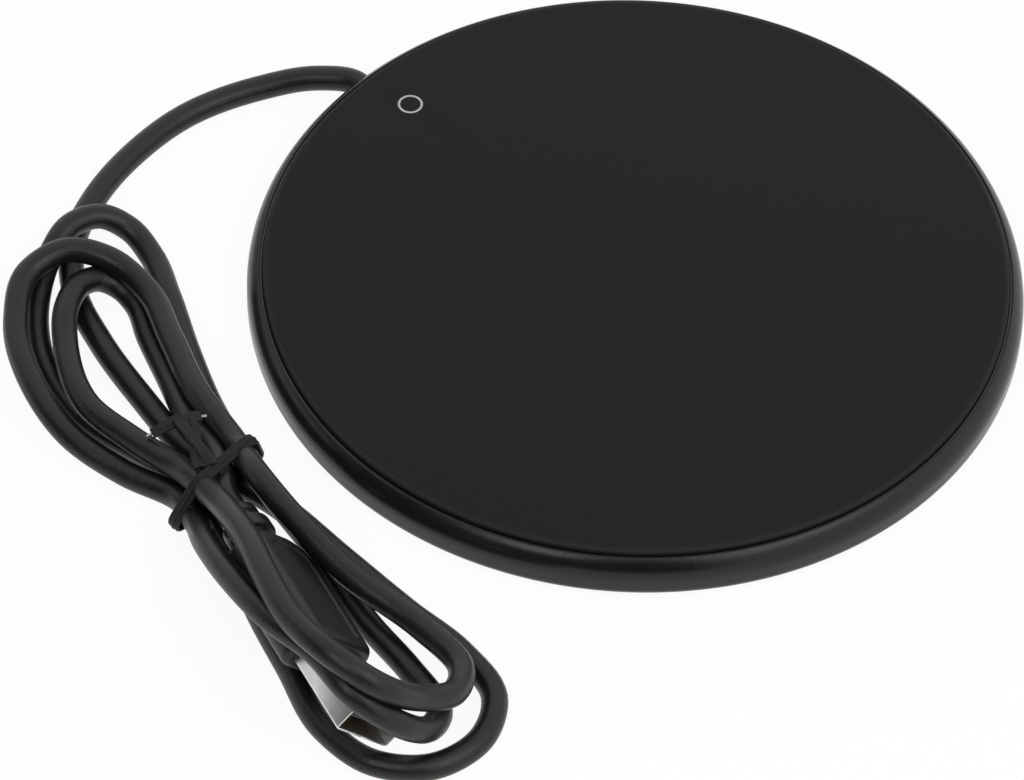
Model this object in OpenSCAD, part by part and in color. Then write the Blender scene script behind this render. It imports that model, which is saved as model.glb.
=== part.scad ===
// Electric mug warmer: a thin round heated pad with a plate that sinks on springs and
// presses a switch, and a cord with a USB-A plug, folded into a hank with a twist tie.
// Origin at the bottom centre of the pad, +Z up, +Y towards the cord's exit. Millimetres.

/* [Housing] */
// Outside diameter of the rim
rim_d = 120; // [112:1:140]
// Width of the rim's top, from the outside to the plate's groove
rim_w = 2; // [1.6:0.1:3]
// Radius of the rim's upper outside edge
rim_top_r = 4.2; // [3.5:0.1:4.6]
// Radius of the rim's lower outside edge
rim_low_r = 1.8; // [1:0.1:2.6]
// Width of the rim's floor ledge, from the outside to the base cover
ledge_w = 4.4; // [4.2:0.1:6]
// Thickness of the base cover
base_t = 1.2; // [1.1:0.1:1.6]
// Diameter of a rubber foot
foot_d = 12; // [8:0.5:16]
// Thickness of a rubber foot
foot_t = 0.9; // [0.7:0.1:1.1]
// How far a foot stands out of the base
foot_proud = 0.4; // [0.3:0.1:0.6]
// Distance from the base cover's edge to the middle of a foot
foot_inset = 13.4; // [11:0.1:16]

/* [Plate] */
// Thickness of the warming plate
plate_t = 1; // [0.8:0.1:1.6]
// Gap all round between the plate and the rim
plate_gap = 0.4; // [0.3:0.1:0.6]
// Thickness of the heat spreader
spreader_t = 0.4; // [0.3:0.1:0.8]
// Distance from the light pipe to the heat spreader's edge
spreader_inset = 3.2; // [2.2:0.1:5]
// Thickness of the heater film
film_t = 0.2; // [0.1:0.1:0.4]
// How far the film's edge lies inside the insulation pad's
film_inset = 3; // [2:0.1:4]
// Thickness of the heater trace
trace_t = 0.1; // [0.1:0.05:0.2]
// Width of the heater trace
trace_w = 1.6; // [1:0.1:2.2]
// Distance between neighbouring turns of the trace
trace_pitch = 5; // [4:0.5:5.5]
// Thickness of the insulation pad
pad_t = 0.7; // [0.6:0.1:1.2]
// How far the pad's edge lies inside the heat spreader's
pad_inset = 1; // [0.5:0.1:2]
// Thickness of the carrier's floor
carrier_t = 0.6; // [0.6:0.1:1]
// Width of the carrier's raised edge
carrier_edge_w = 3; // [2:0.5:4]
// Outside diameter of the light ring
ring_d = 4; // [3.6:0.1:6]
// Width of the light ring's line
ring_line = 0.4; // [0.3:0.1:0.6]
// Depth of the light ring in the plate
ring_deep = 0.3; // [0.2:0.1:0.4]
// Distance from the plate's edge to the middle of the light ring
ring_inset = 8.9; // [8:0.1:10]
// Diameter of the light pipe
pipe_d = 3; // [2:0.1:3.2]

/* [Weight switch] */
// How far the plate sinks under a mug
press_travel = 0.5; // [0.3:0.05:0.6]
// Radius of the circle that the guide posts lie on
post_ring_r = 34; // [32:0.5:36]
// Outside diameter of a guide post
post_d = 4.4; // [4:0.1:4.8]
// Diameter of the spring seat at the foot of a post
seat_d = 7.6; // [7.4:0.1:9]
// Height of the spring seat over the base cover
seat_h = 0.6; // [0.5:0.1:0.8]
// Diameter of a shoulder screw's shoulder
shoulder_d = 2.8; // [2.4:0.1:3]
// Diameter of a shoulder screw's thread
thread_d = 2; // [1.6:0.1:2.2]
// Diameter of a shoulder screw's head
shoulder_head_d = 4; // [3.8:0.1:4.4]
// Thickness of a shoulder screw's head
shoulder_head_t = 0.6; // [0.5:0.05:0.65]
// Mean diameter of a spring's coils
spring_d = 5.8; // [5.6:0.1:6.4]
// Thickness of a spring's wire
spring_wire = 0.5; // [0.3:0.05:0.6]
// Number of coils in a spring
spring_turns = 3; // [2:0.5:3]
// Diameter of the switch's plunger
plunger_d = 1.8; // [1.4:0.1:2.4]
// Length of the switch's body
switch_l = 6; // [5:0.1:7]
// Width of the switch's body
switch_w = 5; // [4:0.1:5.5]
// Height of the switch's body
switch_h = 1.1; // [0.9:0.05:1.2]

/* [Circuit board] */
// Width of the board
board_w = 34; // [32:1:38]
// Length of the board, from front to back
board_l = 22; // [21:0.5:24]
// Thickness of the board
board_t = 0.8; // [0.6:0.1:1]
// Height of the posts under the board
standoff_h = 0.6; // [0.4:0.1:1]
// Room for components above the board
part_space = 1.5; // [1.4:0.1:2.4]
// Width of the control chip
chip_w = 4; // [3:0.1:4.4]
// Height of the control chip
chip_h = 1; // [0.7:0.05:1.2]
// Height of the power transistor
transistor_h = 1.2; // [0.9:0.05:1.3]
// Height of the indicator lamp
lamp_h = 0.7; // [0.5:0.05:0.9]

/* [Screws] */
// Diameter of a case screw's shank
case_screw_d = 2; // [1.6:0.1:2.4]
// Diameter of a case screw's head
case_head_d = 3.8; // [3.6:0.1:4.4]
// Thickness of a case screw's head
case_head_t = 0.5; // [0.4:0.05:0.6]
// Distance from the base cover's edge to the middle of a case screw
case_inset = 3.4; // [2.9:0.1:4]
// Diameter of a screw boss under the plate
boss_d = 5; // [4.4:0.1:5.6]
// Diameter of a board screw's shank
board_screw_d = 1.2; // [1:0.1:1.4]
// Diameter of a board screw's head
board_head_d = 2.6; // [2.2:0.1:2.8]
// Thickness of a board screw's head
board_head_t = 0.5; // [0.4:0.05:0.7]

/* [Cord] */
// Diameter of the cord
cord_d = 4; // [3.6:0.1:4.2]
// Width of the cord's anchor inside the rim
anchor_w = 8; // [6:0.5:10]
// Length of the cord's anchor
anchor_l = 4; // [3:0.5:4.5]
// Height of the cord's anchor
anchor_h = 4.2; // [3:0.1:4.4]
// Thickness of the tie's band
tie_t = 0.5; // [0.3:0.1:0.5]
// Width of the tie's band
tie_w = 2; // [1.6:0.1:2.8]
// Thickness of the tie's bare wire
tie_wire_d = 0.5; // [0.3:0.1:0.7]

/* [Plug] */
// Width of the plug's metal shell
shell_w = 12; // [12:0.1:12.2]
// Thickness of the plug's metal shell
shell_h = 4.5; // [4.4:0.1:4.6]
// Wall of the plug's metal shell
shell_wall = 0.3; // [0.25:0.05:0.4]
// Length of the metal shell outside the over-mould
shell_l = 14; // [12:0.5:15]
// Length of the shell's root inside the over-mould
shell_root = 3; // [2:0.5:5]
// Thickness of the plug's tongue
tongue_t = 1.8; // [1.6:0.1:2]
// Width of the plug's over-mould
grip_w = 16; // [15:0.5:17]
// Thickness of the plug's over-mould
grip_h = 8; // [7.4:0.1:8.4]
// Length of the plug's over-mould
grip_l = 24; // [21:0.5:25]
// Radius of the over-mould's edges
grip_r = 2.8; // [1.5:0.1:3]
// Radius of the over-mould's back corners, seen from above
grip_end_r = 6.5; // [5:0.5:7]
// Width of the neck behind the over-mould
neck_w = 10; // [9:0.1:10.4]
// Thickness of the neck
neck_h = 7.6; // [7:0.1:7.8]
// Length of the neck
neck_l = 7; // [6:0.5:8]

/* [Hidden] */
$fn = 96;

// Clearances
fit_gap = 0.2;       // a piece dropped into a recess
screw_gap = 0.05;    // a shank in its hole
run_gap = 0.05;      // a sliding shaft in its bore
stop_gap = 0.3;      // still air over the tallest fixed piece when the plate is down
cord_gap = 0.15;     // the cord in the rim's exit hole
eps = 0.1;           // how far a cut runs past a face

// Heights, from the table up
base_z = foot_proud;
base_top = base_z + base_t;
board_z = base_top + standoff_h;
board_top = board_z + board_t;
carrier_z = board_top + part_space + press_travel;
post_top = carrier_z - press_travel;
pad_z = carrier_z + carrier_t;
trace_z = pad_z + pad_t;
film_z = trace_z + trace_t;
spreader_z = film_z + film_t;
plate_z = spreader_z + spreader_t;
plate_top = plate_z + plate_t;
fixed_top = post_top - stop_gap;

// Radii, from the outside in
rim_r = rim_d / 2;
opening_r = rim_r - rim_w;
ledge_r = rim_r - ledge_w;
base_r = ledge_r - fit_gap;
plate_r = opening_r - plate_gap;
carrier_inset = 0.4;
carrier_r = plate_r - carrier_inset;
carrier_in_r = carrier_r - carrier_edge_w;
ring_y = plate_r - ring_inset;
spreader_r = ring_y - pipe_d / 2 - spreader_inset;
insulation_r = spreader_r - pad_inset;
film_r = insulation_r - film_inset;
foot_ring_r = base_r - foot_inset;
case_ring_r = base_r - case_inset;

// Where things stand
post_angles = [-90, 30, 150];
case_angles = [45, 135, 225, 315];
foot_angles = [0, 90, 180, 270];
board_back = ring_y + 2;
board_front = board_back - board_l;
board_mid = (board_front + board_back) / 2;
standoff_d = 3.4;
board_edge = 2.5;
standoff_spots = [for (sx = [-1, 1], y = [board_front + board_edge, board_back - board_edge])
                  [sx * (board_w / 2 - board_edge), y]];
switch_spot = [9 - board_w / 2, board_mid];
chip_spot = [board_w / 2 - 10, board_mid + 2];
transistor_spot = [4, board_front + 5.5];
thermistor_spot = [board_w / 2 - 5, board_front + 4];
fuse_spot = [-thermistor_spot[0], board_front - 6.7];
capacitor_spots = [for (x = [5.5, 8]) [board_w / 2 - x, board_back - 4]];
resistor_spots = [for (i = [0:3]) [switch_spot[0] - 4.5 + 2 * i, board_front + 6]];
fuse_l = 7;
fuse_w = 2.2;
thermistor_l = 3;
thermistor_w = 2;
window_gap = 0.5;
lead_spots = [[-3, board_front + 1.8], [3, board_front + 1.8]];
lead_d = 0.9;
sensor_lead_d = 0.6;
sensor_lead_x = 0.8;
lead_hole_d = 2;
post_bore_d = shoulder_d + 2 * run_gap;
head_pit_d = shoulder_head_d + 2 * fit_gap + 0.2;
carrier_boss_d = thread_d + 2;
thread_l = carrier_t + pad_t - 0.2;
anchor_back = opening_r - 0.5;
anchor_front = anchor_back - anchor_l;
cradle_t = 1.2;
trace_turns = 5;
trace_in_r = 8;
trace_out_r = trace_in_r + (trace_turns - 1) * trace_pitch;
trace_split = 4.2;

// The cord's route: its middle line, from the anchor to the plug's neck. The strands run
// through the tie one after the other, and the loops lie on both sides of it.
cord_exit_z = 4;
lead_run = [[0, 57.5, 4], [0, 61, 4], [-3, 66, 3.5], [-11, 72, 2.5], [-22, 76, 2], [-34, 76, 2],
            [-45, 73.5, 2], [-54, 69, 2], [-61, 61.5, 2], [-65.5, 51, 2], [-69, 38, 2], [-71, 28, 2],
            [-71.5, 18.5, 3]];
low_loop_1 = [[-69.5, 9, 2], [-70, -6, 2], [-70.5, -20, 2], [-70.5, -31, 2], [-73, -40, 2],
              [-80, -44, 2], [-88.5, -42.5, 2], [-94, -36, 2], [-94.6, -26.4, 2], [-90.2, -14.8, 2],
              [-85.6, -3.4, 2], [-80, 7.5, 2], [-75.5, 18.5, 3]];
top_loop_1 = [[-76.5, 30, 2], [-78, 42, 2], [-74.5, 54, 2], [-67.5, 63, 2.5], [-60.5, 67.5, 4.5],
              [-54.5, 69, 6], [-49.5, 67.5, 5.5], [-47, 63.5, 3.5], [-47.5, 58.5, 2], [-51.5, 50.5, 2],
              [-57.5, 40, 2], [-63, 29, 2], [-67, 18.5, 3]];
low_loop_2 = [[-70.5, 11, 7], [-72.5, 4, 7.5], [-73.5, -5, 5], [-76, -16.5, 2], [-78, -27.5, 2],
              [-80.5, -36, 2.5], [-86, -39.5, 6], [-93, -39, 13.5], [-96.2, -33.5, 18.2],
              [-95, -25.5, 18.9], [-95, -15.5, 18.7], [-92.5, -5.5, 16.5], [-88, 4.5, 12.2],
              [-82.5, 12.5, 6], [-79.5, 19.5, 3]];
top_loop_2 = [[-81.5, 29, 2.5], [-83, 39.5, 4], [-80.5, 50.5, 6], [-74, 60.5, 6.5], [-66.5, 65.5, 7.5],
              [-60, 64, 8.5], [-56, 58.5, 7.5], [-55.5, 51, 6], [-60, 41, 6.5], [-65.5, 29.5, 7.5],
              [-68.5, 18.5, 7.5]];
low_loop_3 = [[-72.5, 10, 11], [-74.5, 0, 10.5], [-75, -12, 8], [-73.5, -25.5, 6], [-75, -35, 6.5],
              [-80.5, -39, 9], [-87.5, -38.5, 13.5], [-94, -36, 20.5], [-96, -29.5, 23],
              [-95, -20, 22.5], [-91.5, -11.5, 21.5], [-87.5, -4, 19.5], [-83, 5.5, 15],
              [-79.5, 13, 10], [-77.5, 19.5, 7]];
top_loop_3 = [[-78, 30.5, 6], [-78, 40.5, 6], [-72.5, 51, 6], [-66.5, 57, 6.5], [-62, 59, 6],
              [-58.5, 58.5, 5], [-56.5, 56, 3.5], [-56.5, 52.5, 2.5], [-59.5, 46.5, 2],
              [-63.5, 38, 2.5], [-69, 27.5, 5], [-72.5, 18.5, 7]];
plug_run = [[-75.2, 14, 8.4], [-77.9, 10.5, 9], [-78.9, 7.6, 9]];
route = concat(lead_run, low_loop_1, top_loop_1, low_loop_2, top_loop_2, low_loop_3, top_loop_3,
               plug_run);
cord_sides = 8;

// The tie: the middle of the bundle, the turn and lean of its plane, and the strands on its outside
tie_mid = [-75, 17];
tie_turn = 3;
tie_lean = 12;
tie_gap = 0.4;
tie_strands = [[-6.5, 4.2], [-1, 3.2], [3.6, 3.2], [7, 4.2], [5, 8.9], [-3.9, 9]];
tie_root = [-77.3, 15.4, 11];
tie_knot = [-71.9, 25.8, 9.4];
tie_tip_left = [-76.2, 27.4, 8.6];
tie_tip_right = [-70.4, 24.7, 9.4];

// The plug: the middle of its open end, the way it points and its roll on the table
plug_tip = [-93.5, -35, 9];
plug_yaw = -18.9;
plug_roll = 48;
grip_back = shell_l + grip_l;

function unit(v) = v / norm(v);
function tangent(p, i) = unit(p[min(i + 1, len(p) - 1)] - p[max(i - 1, 0)]);
function across(t) = unit(cross(t, [0, 0, 1]));

// Tube of n sides swept along a path that never points straight up
module sweep(path, r, n) {
    rings = [for (i = [0:len(path) - 1], k = [0:n - 1])
             let (t = tangent(path, i), s = across(t), u = cross(s, t), a = 360 * (k + 0.5) / n)
             path[i] + r * (cos(a) * s + sin(a) * u)];
    last = (len(path) - 1) * n;
    walls = [for (i = [0:len(path) - 2], k = [0:n - 1])
             [i * n + k, i * n + (k + 1) % n, (i + 1) * n + (k + 1) % n, (i + 1) * n + k]];
    near_end = [for (k = [0:n - 1]) n - 1 - k];
    far_end = [for (k = [0:n - 1]) last + k];
    polyhedron(rings, concat(walls, [near_end, far_end]));
}

// Round rod from one point to another
module rod(from, to, r) {
    v = to - from;
    translate(from)
        rotate([0, acos(v[2] / norm(v)), atan2(v[1], v[0])])
            cylinder(h = norm(v), r = r, $fn = 32);
}

// Wire with round bends through a list of points
module wire(path, r) {
    for (i = [0:len(path) - 2]) rod(path[i], path[i + 1], r);
    for (i = [1:len(path) - 2]) translate(path[i]) sphere(r, $fn = 32);
}

// Disc between two heights
module disc(r, z, h) {
    translate([0, 0, z]) cylinder(h = h, r = r, $fn = 180);
}

// Round hole or peg at a spot in plan
module round_at(spot, d, z, h) {
    translate([spot[0], spot[1], z]) cylinder(h = h, d = d);
}

// Block whose bottom middle is at a spot in plan
module block_at(spot, size, z) {
    translate([spot[0] - size[0] / 2, spot[1] - size[1] / 2, z]) cube(size);
}

// Copies on a circle
module on_ring(r, angles) {
    for (a = angles) rotate(a) translate([r, 0, 0]) children();
}

// What is cut off a square corner to leave a quarter round
module corner_waste(corner, way, r) {
    translate(corner)
        difference() {
            translate([way[0] > 0 ? -r : -eps, way[1] > 0 ? -r : -eps]) square(r + eps);
            translate([-way[0] * r, -way[1] * r]) circle(r);
        }
}

// Rectangle with round corners
module round_rect(w, h, r) {
    square([w - 2 * r, h], center = true);
    square([w, h - 2 * r], center = true);
    for (sx = [-1, 1], sy = [-1, 1]) translate([sx * (w / 2 - r), sy * (h / 2 - r)]) circle(r);
}

module rim_section() {
    difference() {
        translate([ledge_r, base_z]) square([ledge_w, plate_top - base_z]);
        corner_waste([rim_r, plate_top], [1, 1], rim_top_r);
        corner_waste([rim_r, base_z], [1, -1], rim_low_r);
        translate([0, base_top]) square([opening_r, plate_top]);
    }
}

module rim_housing() {
    pilot_top = fixed_top - 0.4;
    color([0.035, 0.035, 0.037])
        difference() {
            union() {
                rotate_extrude($fn = 180) rim_section();
                on_ring(case_ring_r, case_angles) {
                    translate([0, 0, base_top]) cylinder(h = fixed_top - base_top, d = boss_d);
                    translate([0, -boss_d / 2, base_top])
                        cube([opening_r - case_ring_r + rim_w / 2, boss_d, fixed_top - base_top]);
                }
            }
            on_ring(case_ring_r, case_angles)
                translate([0, 0, base_top - eps])
                    cylinder(h = pilot_top - base_top + eps, d = case_screw_d + 2 * screw_gap);
            translate([0, anchor_back - 1, cord_exit_z])
                rotate([-90, 0, 0]) cylinder(h = rim_r, d = cord_d + 2 * cord_gap);
        }
}

module guide_post() {
    translate([0, 0, base_top]) cylinder(h = seat_h, d = seat_d);
    translate([0, 0, base_top]) cylinder(h = post_top - base_top, d = post_d);
}

module base_cover() {
    standoff_pilot_z = base_z + 0.5;
    color([0.05, 0.05, 0.055])
        difference() {
            union() {
                disc(base_r, base_z, base_t);
                on_ring(post_ring_r, post_angles) guide_post();
                for (s = standoff_spots) round_at(s, standoff_d, base_top, standoff_h);
                for (sx = [-1, 1])
                    translate([sx * (anchor_w + 2 * fit_gap + cradle_t) / 2 - cradle_t / 2,
                               anchor_front - cradle_t, base_top])
                        cube([cradle_t, base_r - anchor_front, fixed_top - base_top]);
            }
            on_ring(post_ring_r, post_angles) {
                translate([0, 0, base_z - eps]) cylinder(h = post_top, d = post_bore_d);
                translate([0, 0, base_z - eps]) cylinder(h = base_t + eps, d = head_pit_d);
            }
            on_ring(foot_ring_r, foot_angles)
                translate([0, 0, base_z - eps])
                    cylinder(h = foot_t - foot_proud + eps, d = foot_d + fit_gap);
            on_ring(case_ring_r, case_angles) {
                translate([0, 0, base_z - eps]) cylinder(h = base_t + 2 * eps, d = case_screw_d + fit_gap);
                translate([0, 0, base_z - eps])
                    cylinder(h = case_head_t + 2 * eps, d = case_head_d + 2 * fit_gap);
            }
            for (s = standoff_spots)
                round_at(s, board_screw_d + 2 * screw_gap, standoff_pilot_z, board_z);
        }
}

module foot_pads() {
    color([0.09, 0.09, 0.09])
        on_ring(foot_ring_r, foot_angles) cylinder(h = foot_t, d = foot_d);
}

module case_screws() {
    seat_z = base_z + case_head_t + eps;
    shank_top = fixed_top - 0.6;
    color([0.55, 0.56, 0.58])
        on_ring(case_ring_r, case_angles)
            difference() {
                union() {
                    translate([0, 0, seat_z - case_head_t]) cylinder(h = case_head_t, d = case_head_d);
                    translate([0, 0, seat_z - eps]) cylinder(h = shank_top - seat_z + eps, d = case_screw_d);
                }
                for (a = [0, 90])
                    rotate(a) translate([-case_head_d / 3, -0.25, seat_z - case_head_t - eps])
                        cube([case_head_d * 2 / 3, 0.5, case_head_t / 2 + eps]);
            }
}

module circuit_board() {
    color([0.07, 0.26, 0.15])
        difference() {
            block_at([0, board_mid], [board_w, board_l, board_t], board_z);
            for (s = standoff_spots) round_at(s, board_screw_d + fit_gap, board_z - eps, board_t + 2 * eps);
        }
}

module board_screws() {
    color([0.6, 0.6, 0.62])
        for (s = standoff_spots) {
            round_at(s, board_head_d, board_top, board_head_t);
            round_at(s, board_screw_d, base_z + 0.7, board_top - base_z - 0.7);
        }
}

module control_chip() {
    pin_t = 0.15;
    pin_w = 0.4;
    pin_out = 0.7;
    color([0.08, 0.08, 0.09]) {
        block_at(chip_spot, [chip_w, 5, chip_h - pin_t], board_top + pin_t);
        for (i = [-1.5:1.5], sx = [-1, 1])
            block_at(chip_spot + [sx * (chip_w / 2 + pin_out / 2), i * 1.27],
                     [pin_out, pin_w, 2 * pin_t], board_top);
    }
}

module power_transistor() {
    tab_t = 0.3;
    color([0.1, 0.1, 0.1]) {
        block_at(transistor_spot, [5, 4.6, transistor_h], board_top);
        block_at(transistor_spot + [0, 2.8], [4.2, 1, tab_t], board_top);
        for (x = [-1.5, 0, 1.5]) block_at(transistor_spot + [x, -2.8], [0.6, 1, tab_t], board_top);
    }
}

module chip_capacitors() {
    color([0.62, 0.45, 0.3])
        for (s = capacitor_spots) block_at(s, [1.3, 2, 0.9], board_top);
}

module chip_resistors() {
    color([0.12, 0.12, 0.13])
        for (s = resistor_spots) block_at(s, [0.9, 1.6, 0.5], board_top);
}

module indicator_lamp() {
    color([0.95, 0.95, 0.9]) block_at([0, ring_y], [2, 1.2, lamp_h], board_top);
}

module switch_body() {
    floor_t = 0.05;
    color([0.14, 0.14, 0.15])
        difference() {
            block_at(switch_spot, [switch_l, switch_w, switch_h], board_top);
            round_at(switch_spot, plunger_d + 2 * run_gap, board_top + floor_t, switch_h);
        }
}

module switch_plunger() {
    bottom_z = board_top + press_travel + 0.1;
    color([0.75, 0.12, 0.1]) round_at(switch_spot, plunger_d, bottom_z, carrier_z - bottom_z);
}

module warming_plate() {
    well_top = plate_top - ring_deep - 0.2;
    color([0.055, 0.055, 0.057])
        difference() {
            rotate_extrude($fn = 180)
                difference() {
                    translate([0, plate_z]) square([plate_r, plate_t]);
                    corner_waste([plate_r, plate_top], [1, 1], 0.25);
                }
            difference() {
                round_at([0, ring_y], ring_d, plate_top - ring_deep, ring_deep + eps);
                round_at([0, ring_y], ring_d - 2 * ring_line, plate_top - ring_deep - eps, 1);
            }
            round_at([0, ring_y], pipe_d + fit_gap, plate_z - eps, well_top - plate_z + eps);
        }
}

module light_ring() {
    color([0.72, 0.72, 0.72])
        difference() {
            round_at([0, ring_y], ring_d, plate_top - ring_deep, ring_deep);
            round_at([0, ring_y], ring_d - 2 * ring_line, plate_top - ring_deep - eps, ring_deep + 2 * eps);
        }
}

module light_pipe() {
    bottom_z = board_top + lamp_h + press_travel + 0.2;
    top_z = plate_top - ring_deep - 0.2;
    flange_t = 0.3;
    color([0.85, 0.9, 0.95]) {
        round_at([0, ring_y], pipe_d, bottom_z, top_z - bottom_z);
        round_at([0, ring_y], pipe_d + 1, carrier_z - flange_t, flange_t);
    }
}

module heat_spreader() {
    color([0.75, 0.76, 0.78]) disc(spreader_r, spreader_z, spreader_t);
}

module heater_film() {
    color([0.72, 0.42, 0.12]) disc(film_r, film_z, film_t);
}

// Turns of the trace, open at the back, with a bridge from each turn to the next
module heater_trace() {
    color([0.78, 0.5, 0.25])
        translate([0, 0, trace_z])
            linear_extrude(trace_t) {
                difference() {
                    for (i = [0:trace_turns - 1])
                        difference() {
                            circle(trace_in_r + i * trace_pitch + trace_w / 2);
                            circle(trace_in_r + i * trace_pitch - trace_w / 2);
                        }
                    translate([-trace_split, 0]) square([2 * trace_split, 2 * film_r]);
                }
                for (i = [0:trace_turns - 2])
                    translate([(i % 2 == 0 ? trace_split : -trace_split - trace_w),
                               trace_in_r + i * trace_pitch - trace_w])
                        square([trace_w, trace_pitch + trace_w]);
                translate([lead_spots[0][0] - trace_w / 2, trace_in_r - trace_w])
                    square([trace_w, lead_spots[0][1] - trace_in_r + 2 * trace_w]);
                translate([-trace_split - trace_w, trace_in_r - trace_w])
                    square([trace_split + trace_w + lead_spots[0][0], trace_w]);
                translate([lead_spots[1][0] - trace_w / 2, trace_out_r - trace_w])
                    square([trace_w, lead_spots[1][1] - trace_out_r + 2 * trace_w]);
                translate([lead_spots[1][0], trace_out_r - trace_w])
                    square([trace_split + trace_w - lead_spots[1][0], trace_w]);
            }
}

// Windows for the sensors and holes for the leads and the carrier's screw bosses
module pad_cuts(z, h) {
    block_at(thermistor_spot, [thermistor_l + window_gap, thermistor_w + window_gap, h], z);
    block_at(fuse_spot, [fuse_l + 2 + window_gap, fuse_w + window_gap, h], z);
    for (s = lead_spots) round_at(s, lead_hole_d, z, h);
}

module insulation_pad() {
    color([0.85, 0.84, 0.8])
        difference() {
            disc(insulation_r, pad_z, pad_t);
            pad_cuts(pad_z - eps, pad_t + 2 * eps);
            on_ring(post_ring_r, post_angles)
                translate([0, 0, pad_z - eps]) cylinder(h = pad_t + 2 * eps, d = carrier_boss_d + 2 * fit_gap);
        }
}

module plate_carrier() {
    notch_w = anchor_w + 2;
    color([0.16, 0.16, 0.17])
        difference() {
            union() {
                disc(carrier_r, carrier_z, carrier_t);
                rotate_extrude($fn = 180)
                    translate([carrier_in_r, carrier_z]) square([carrier_edge_w, plate_z - carrier_z]);
                on_ring(post_ring_r, post_angles)
                    translate([0, 0, carrier_z]) cylinder(h = carrier_t + pad_t, d = carrier_boss_d);
            }
            on_ring(post_ring_r, post_angles)
                translate([0, 0, carrier_z - eps])
                    cylinder(h = thread_l + eps, d = thread_d + 2 * screw_gap);
            for (s = lead_spots) round_at(s, lead_hole_d, carrier_z - eps, carrier_t + 2 * eps);
            block_at(thermistor_spot, [2 * sensor_lead_x + lead_hole_d, lead_hole_d, carrier_t + 2 * eps],
                     carrier_z - eps);
            round_at([0, ring_y], pipe_d + fit_gap, carrier_z - eps, carrier_t + 2 * eps);
            translate([-notch_w / 2, anchor_front - 1, carrier_z - eps])
                cube([notch_w, rim_r, plate_z - carrier_z + 2 * eps]);
        }
}

module shoulder_screws() {
    color([0.6, 0.61, 0.63])
        on_ring(post_ring_r, post_angles)
            difference() {
                union() {
                    translate([0, 0, base_top - shoulder_head_t])
                        cylinder(h = shoulder_head_t, d = shoulder_head_d);
                    translate([0, 0, base_top - eps])
                        cylinder(h = carrier_z - base_top + eps, d = shoulder_d);
                    translate([0, 0, carrier_z - eps]) cylinder(h = thread_l, d = thread_d);
                }
                for (a = [0, 90])
                    rotate(a) translate([-shoulder_head_d / 3, -0.25, base_top - shoulder_head_t - eps])
                        cube([shoulder_head_d * 2 / 3, 0.5, shoulder_head_t / 2 + eps]);
            }
}

module thermistor() {
    color([0.1, 0.1, 0.5])
        block_at(thermistor_spot, [thermistor_l, thermistor_w, pad_t], trace_z - pad_t);
}

module thermal_fuse() {
    tail_t = 0.2;
    color([0.8, 0.8, 0.78]) {
        block_at(fuse_spot, [fuse_l, fuse_w, pad_t], trace_z - pad_t);
        block_at(fuse_spot, [fuse_l + 2, 0.8, tail_t], trace_z - tail_t);
    }
}

module spring_at(angle) {
    steps = 16 * spring_turns;
    bottom_z = base_top + seat_h + spring_wire / 2;
    rise = carrier_z - spring_wire / 2 - bottom_z;
    path = [for (i = [0:steps])
            let (a = 360 * spring_turns * i / steps)
            [spring_d / 2 * cos(a), spring_d / 2 * sin(a), bottom_z + rise * i / steps]];
    color([0.7, 0.71, 0.73]) rotate(angle) translate([post_ring_r, 0, 0]) sweep(path, spring_wire / 2, 6);
}

module spring_front() { spring_at(post_angles[0]); }
module spring_right() { spring_at(post_angles[1]); }
module spring_left() { spring_at(post_angles[2]); }

module heater_leads() {
    slack = 0.5;
    color([0.75, 0.1, 0.08])
        for (s = lead_spots)
            wire([[s[0], s[1], board_top], [s[0], s[1], board_top + 0.6],
                  [s[0], s[1] - slack, (board_top + trace_z) / 2], [s[0], s[1], trace_z - 0.6],
                  [s[0], s[1], trace_z]], lead_d / 2);
}

module sensor_leads() {
    slack = 0.4;
    low_z = board_top;
    top_z = trace_z - pad_t;
    color([0.9, 0.85, 0.2])
        for (sx = [-1, 1])
            wire([[thermistor_spot[0] + sx * sensor_lead_x, thermistor_spot[1], low_z],
                  [thermistor_spot[0] + sx * sensor_lead_x, thermistor_spot[1] - slack, (low_z + top_z) / 2],
                  [thermistor_spot[0] + sx * sensor_lead_x, thermistor_spot[1], top_z]],
                 sensor_lead_d / 2);
}

module power_leads() {
    color([0.7, 0.08, 0.08])
        for (sx = [-1, 1])
            sweep([[sx, anchor_front, cord_exit_z - 0.3], [sx, anchor_front - 0.6, cord_exit_z - 0.3],
                   [sx * 1.4, anchor_front - 1.4, board_top + 0.6],
                   [sx * 3, board_back - 0.6, board_top + lead_d / 2],
                   [sx * 3.6, board_back - 3, board_top + lead_d / 2]], lead_d / 2, 8);
}

module cord_anchor() {
    color([0.06, 0.06, 0.06])
        translate([0, anchor_back, cord_exit_z])
            rotate([90, 0, 0]) linear_extrude(anchor_l) round_rect(anchor_w, anchor_h, 0.8);
}

module cord() {
    color([0.045, 0.045, 0.047]) sweep(route, cord_d / 2, cord_sides);
}

// The plug's own frame: X across, Y back from the open end, Z out of its upper wide face
module in_plug() {
    translate(plug_tip) rotate([0, 0, plug_yaw]) rotate([0, plug_roll, 0]) children();
}

// Section in the plug's X and Z, pulled back from one length to another
module along_plug(from, to) {
    translate([0, from, 0]) rotate([-90, 0, 0]) linear_extrude(to - from) children();
}

module grip_plan() {
    hull()
        for (sx = [-1, 1]) {
            translate([sx * (grip_w / 2 - grip_r), shell_l + grip_r]) circle(grip_r);
            translate([sx * (grip_w / 2 - grip_end_r), grip_back - grip_end_r]) circle(grip_end_r);
        }
}

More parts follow.
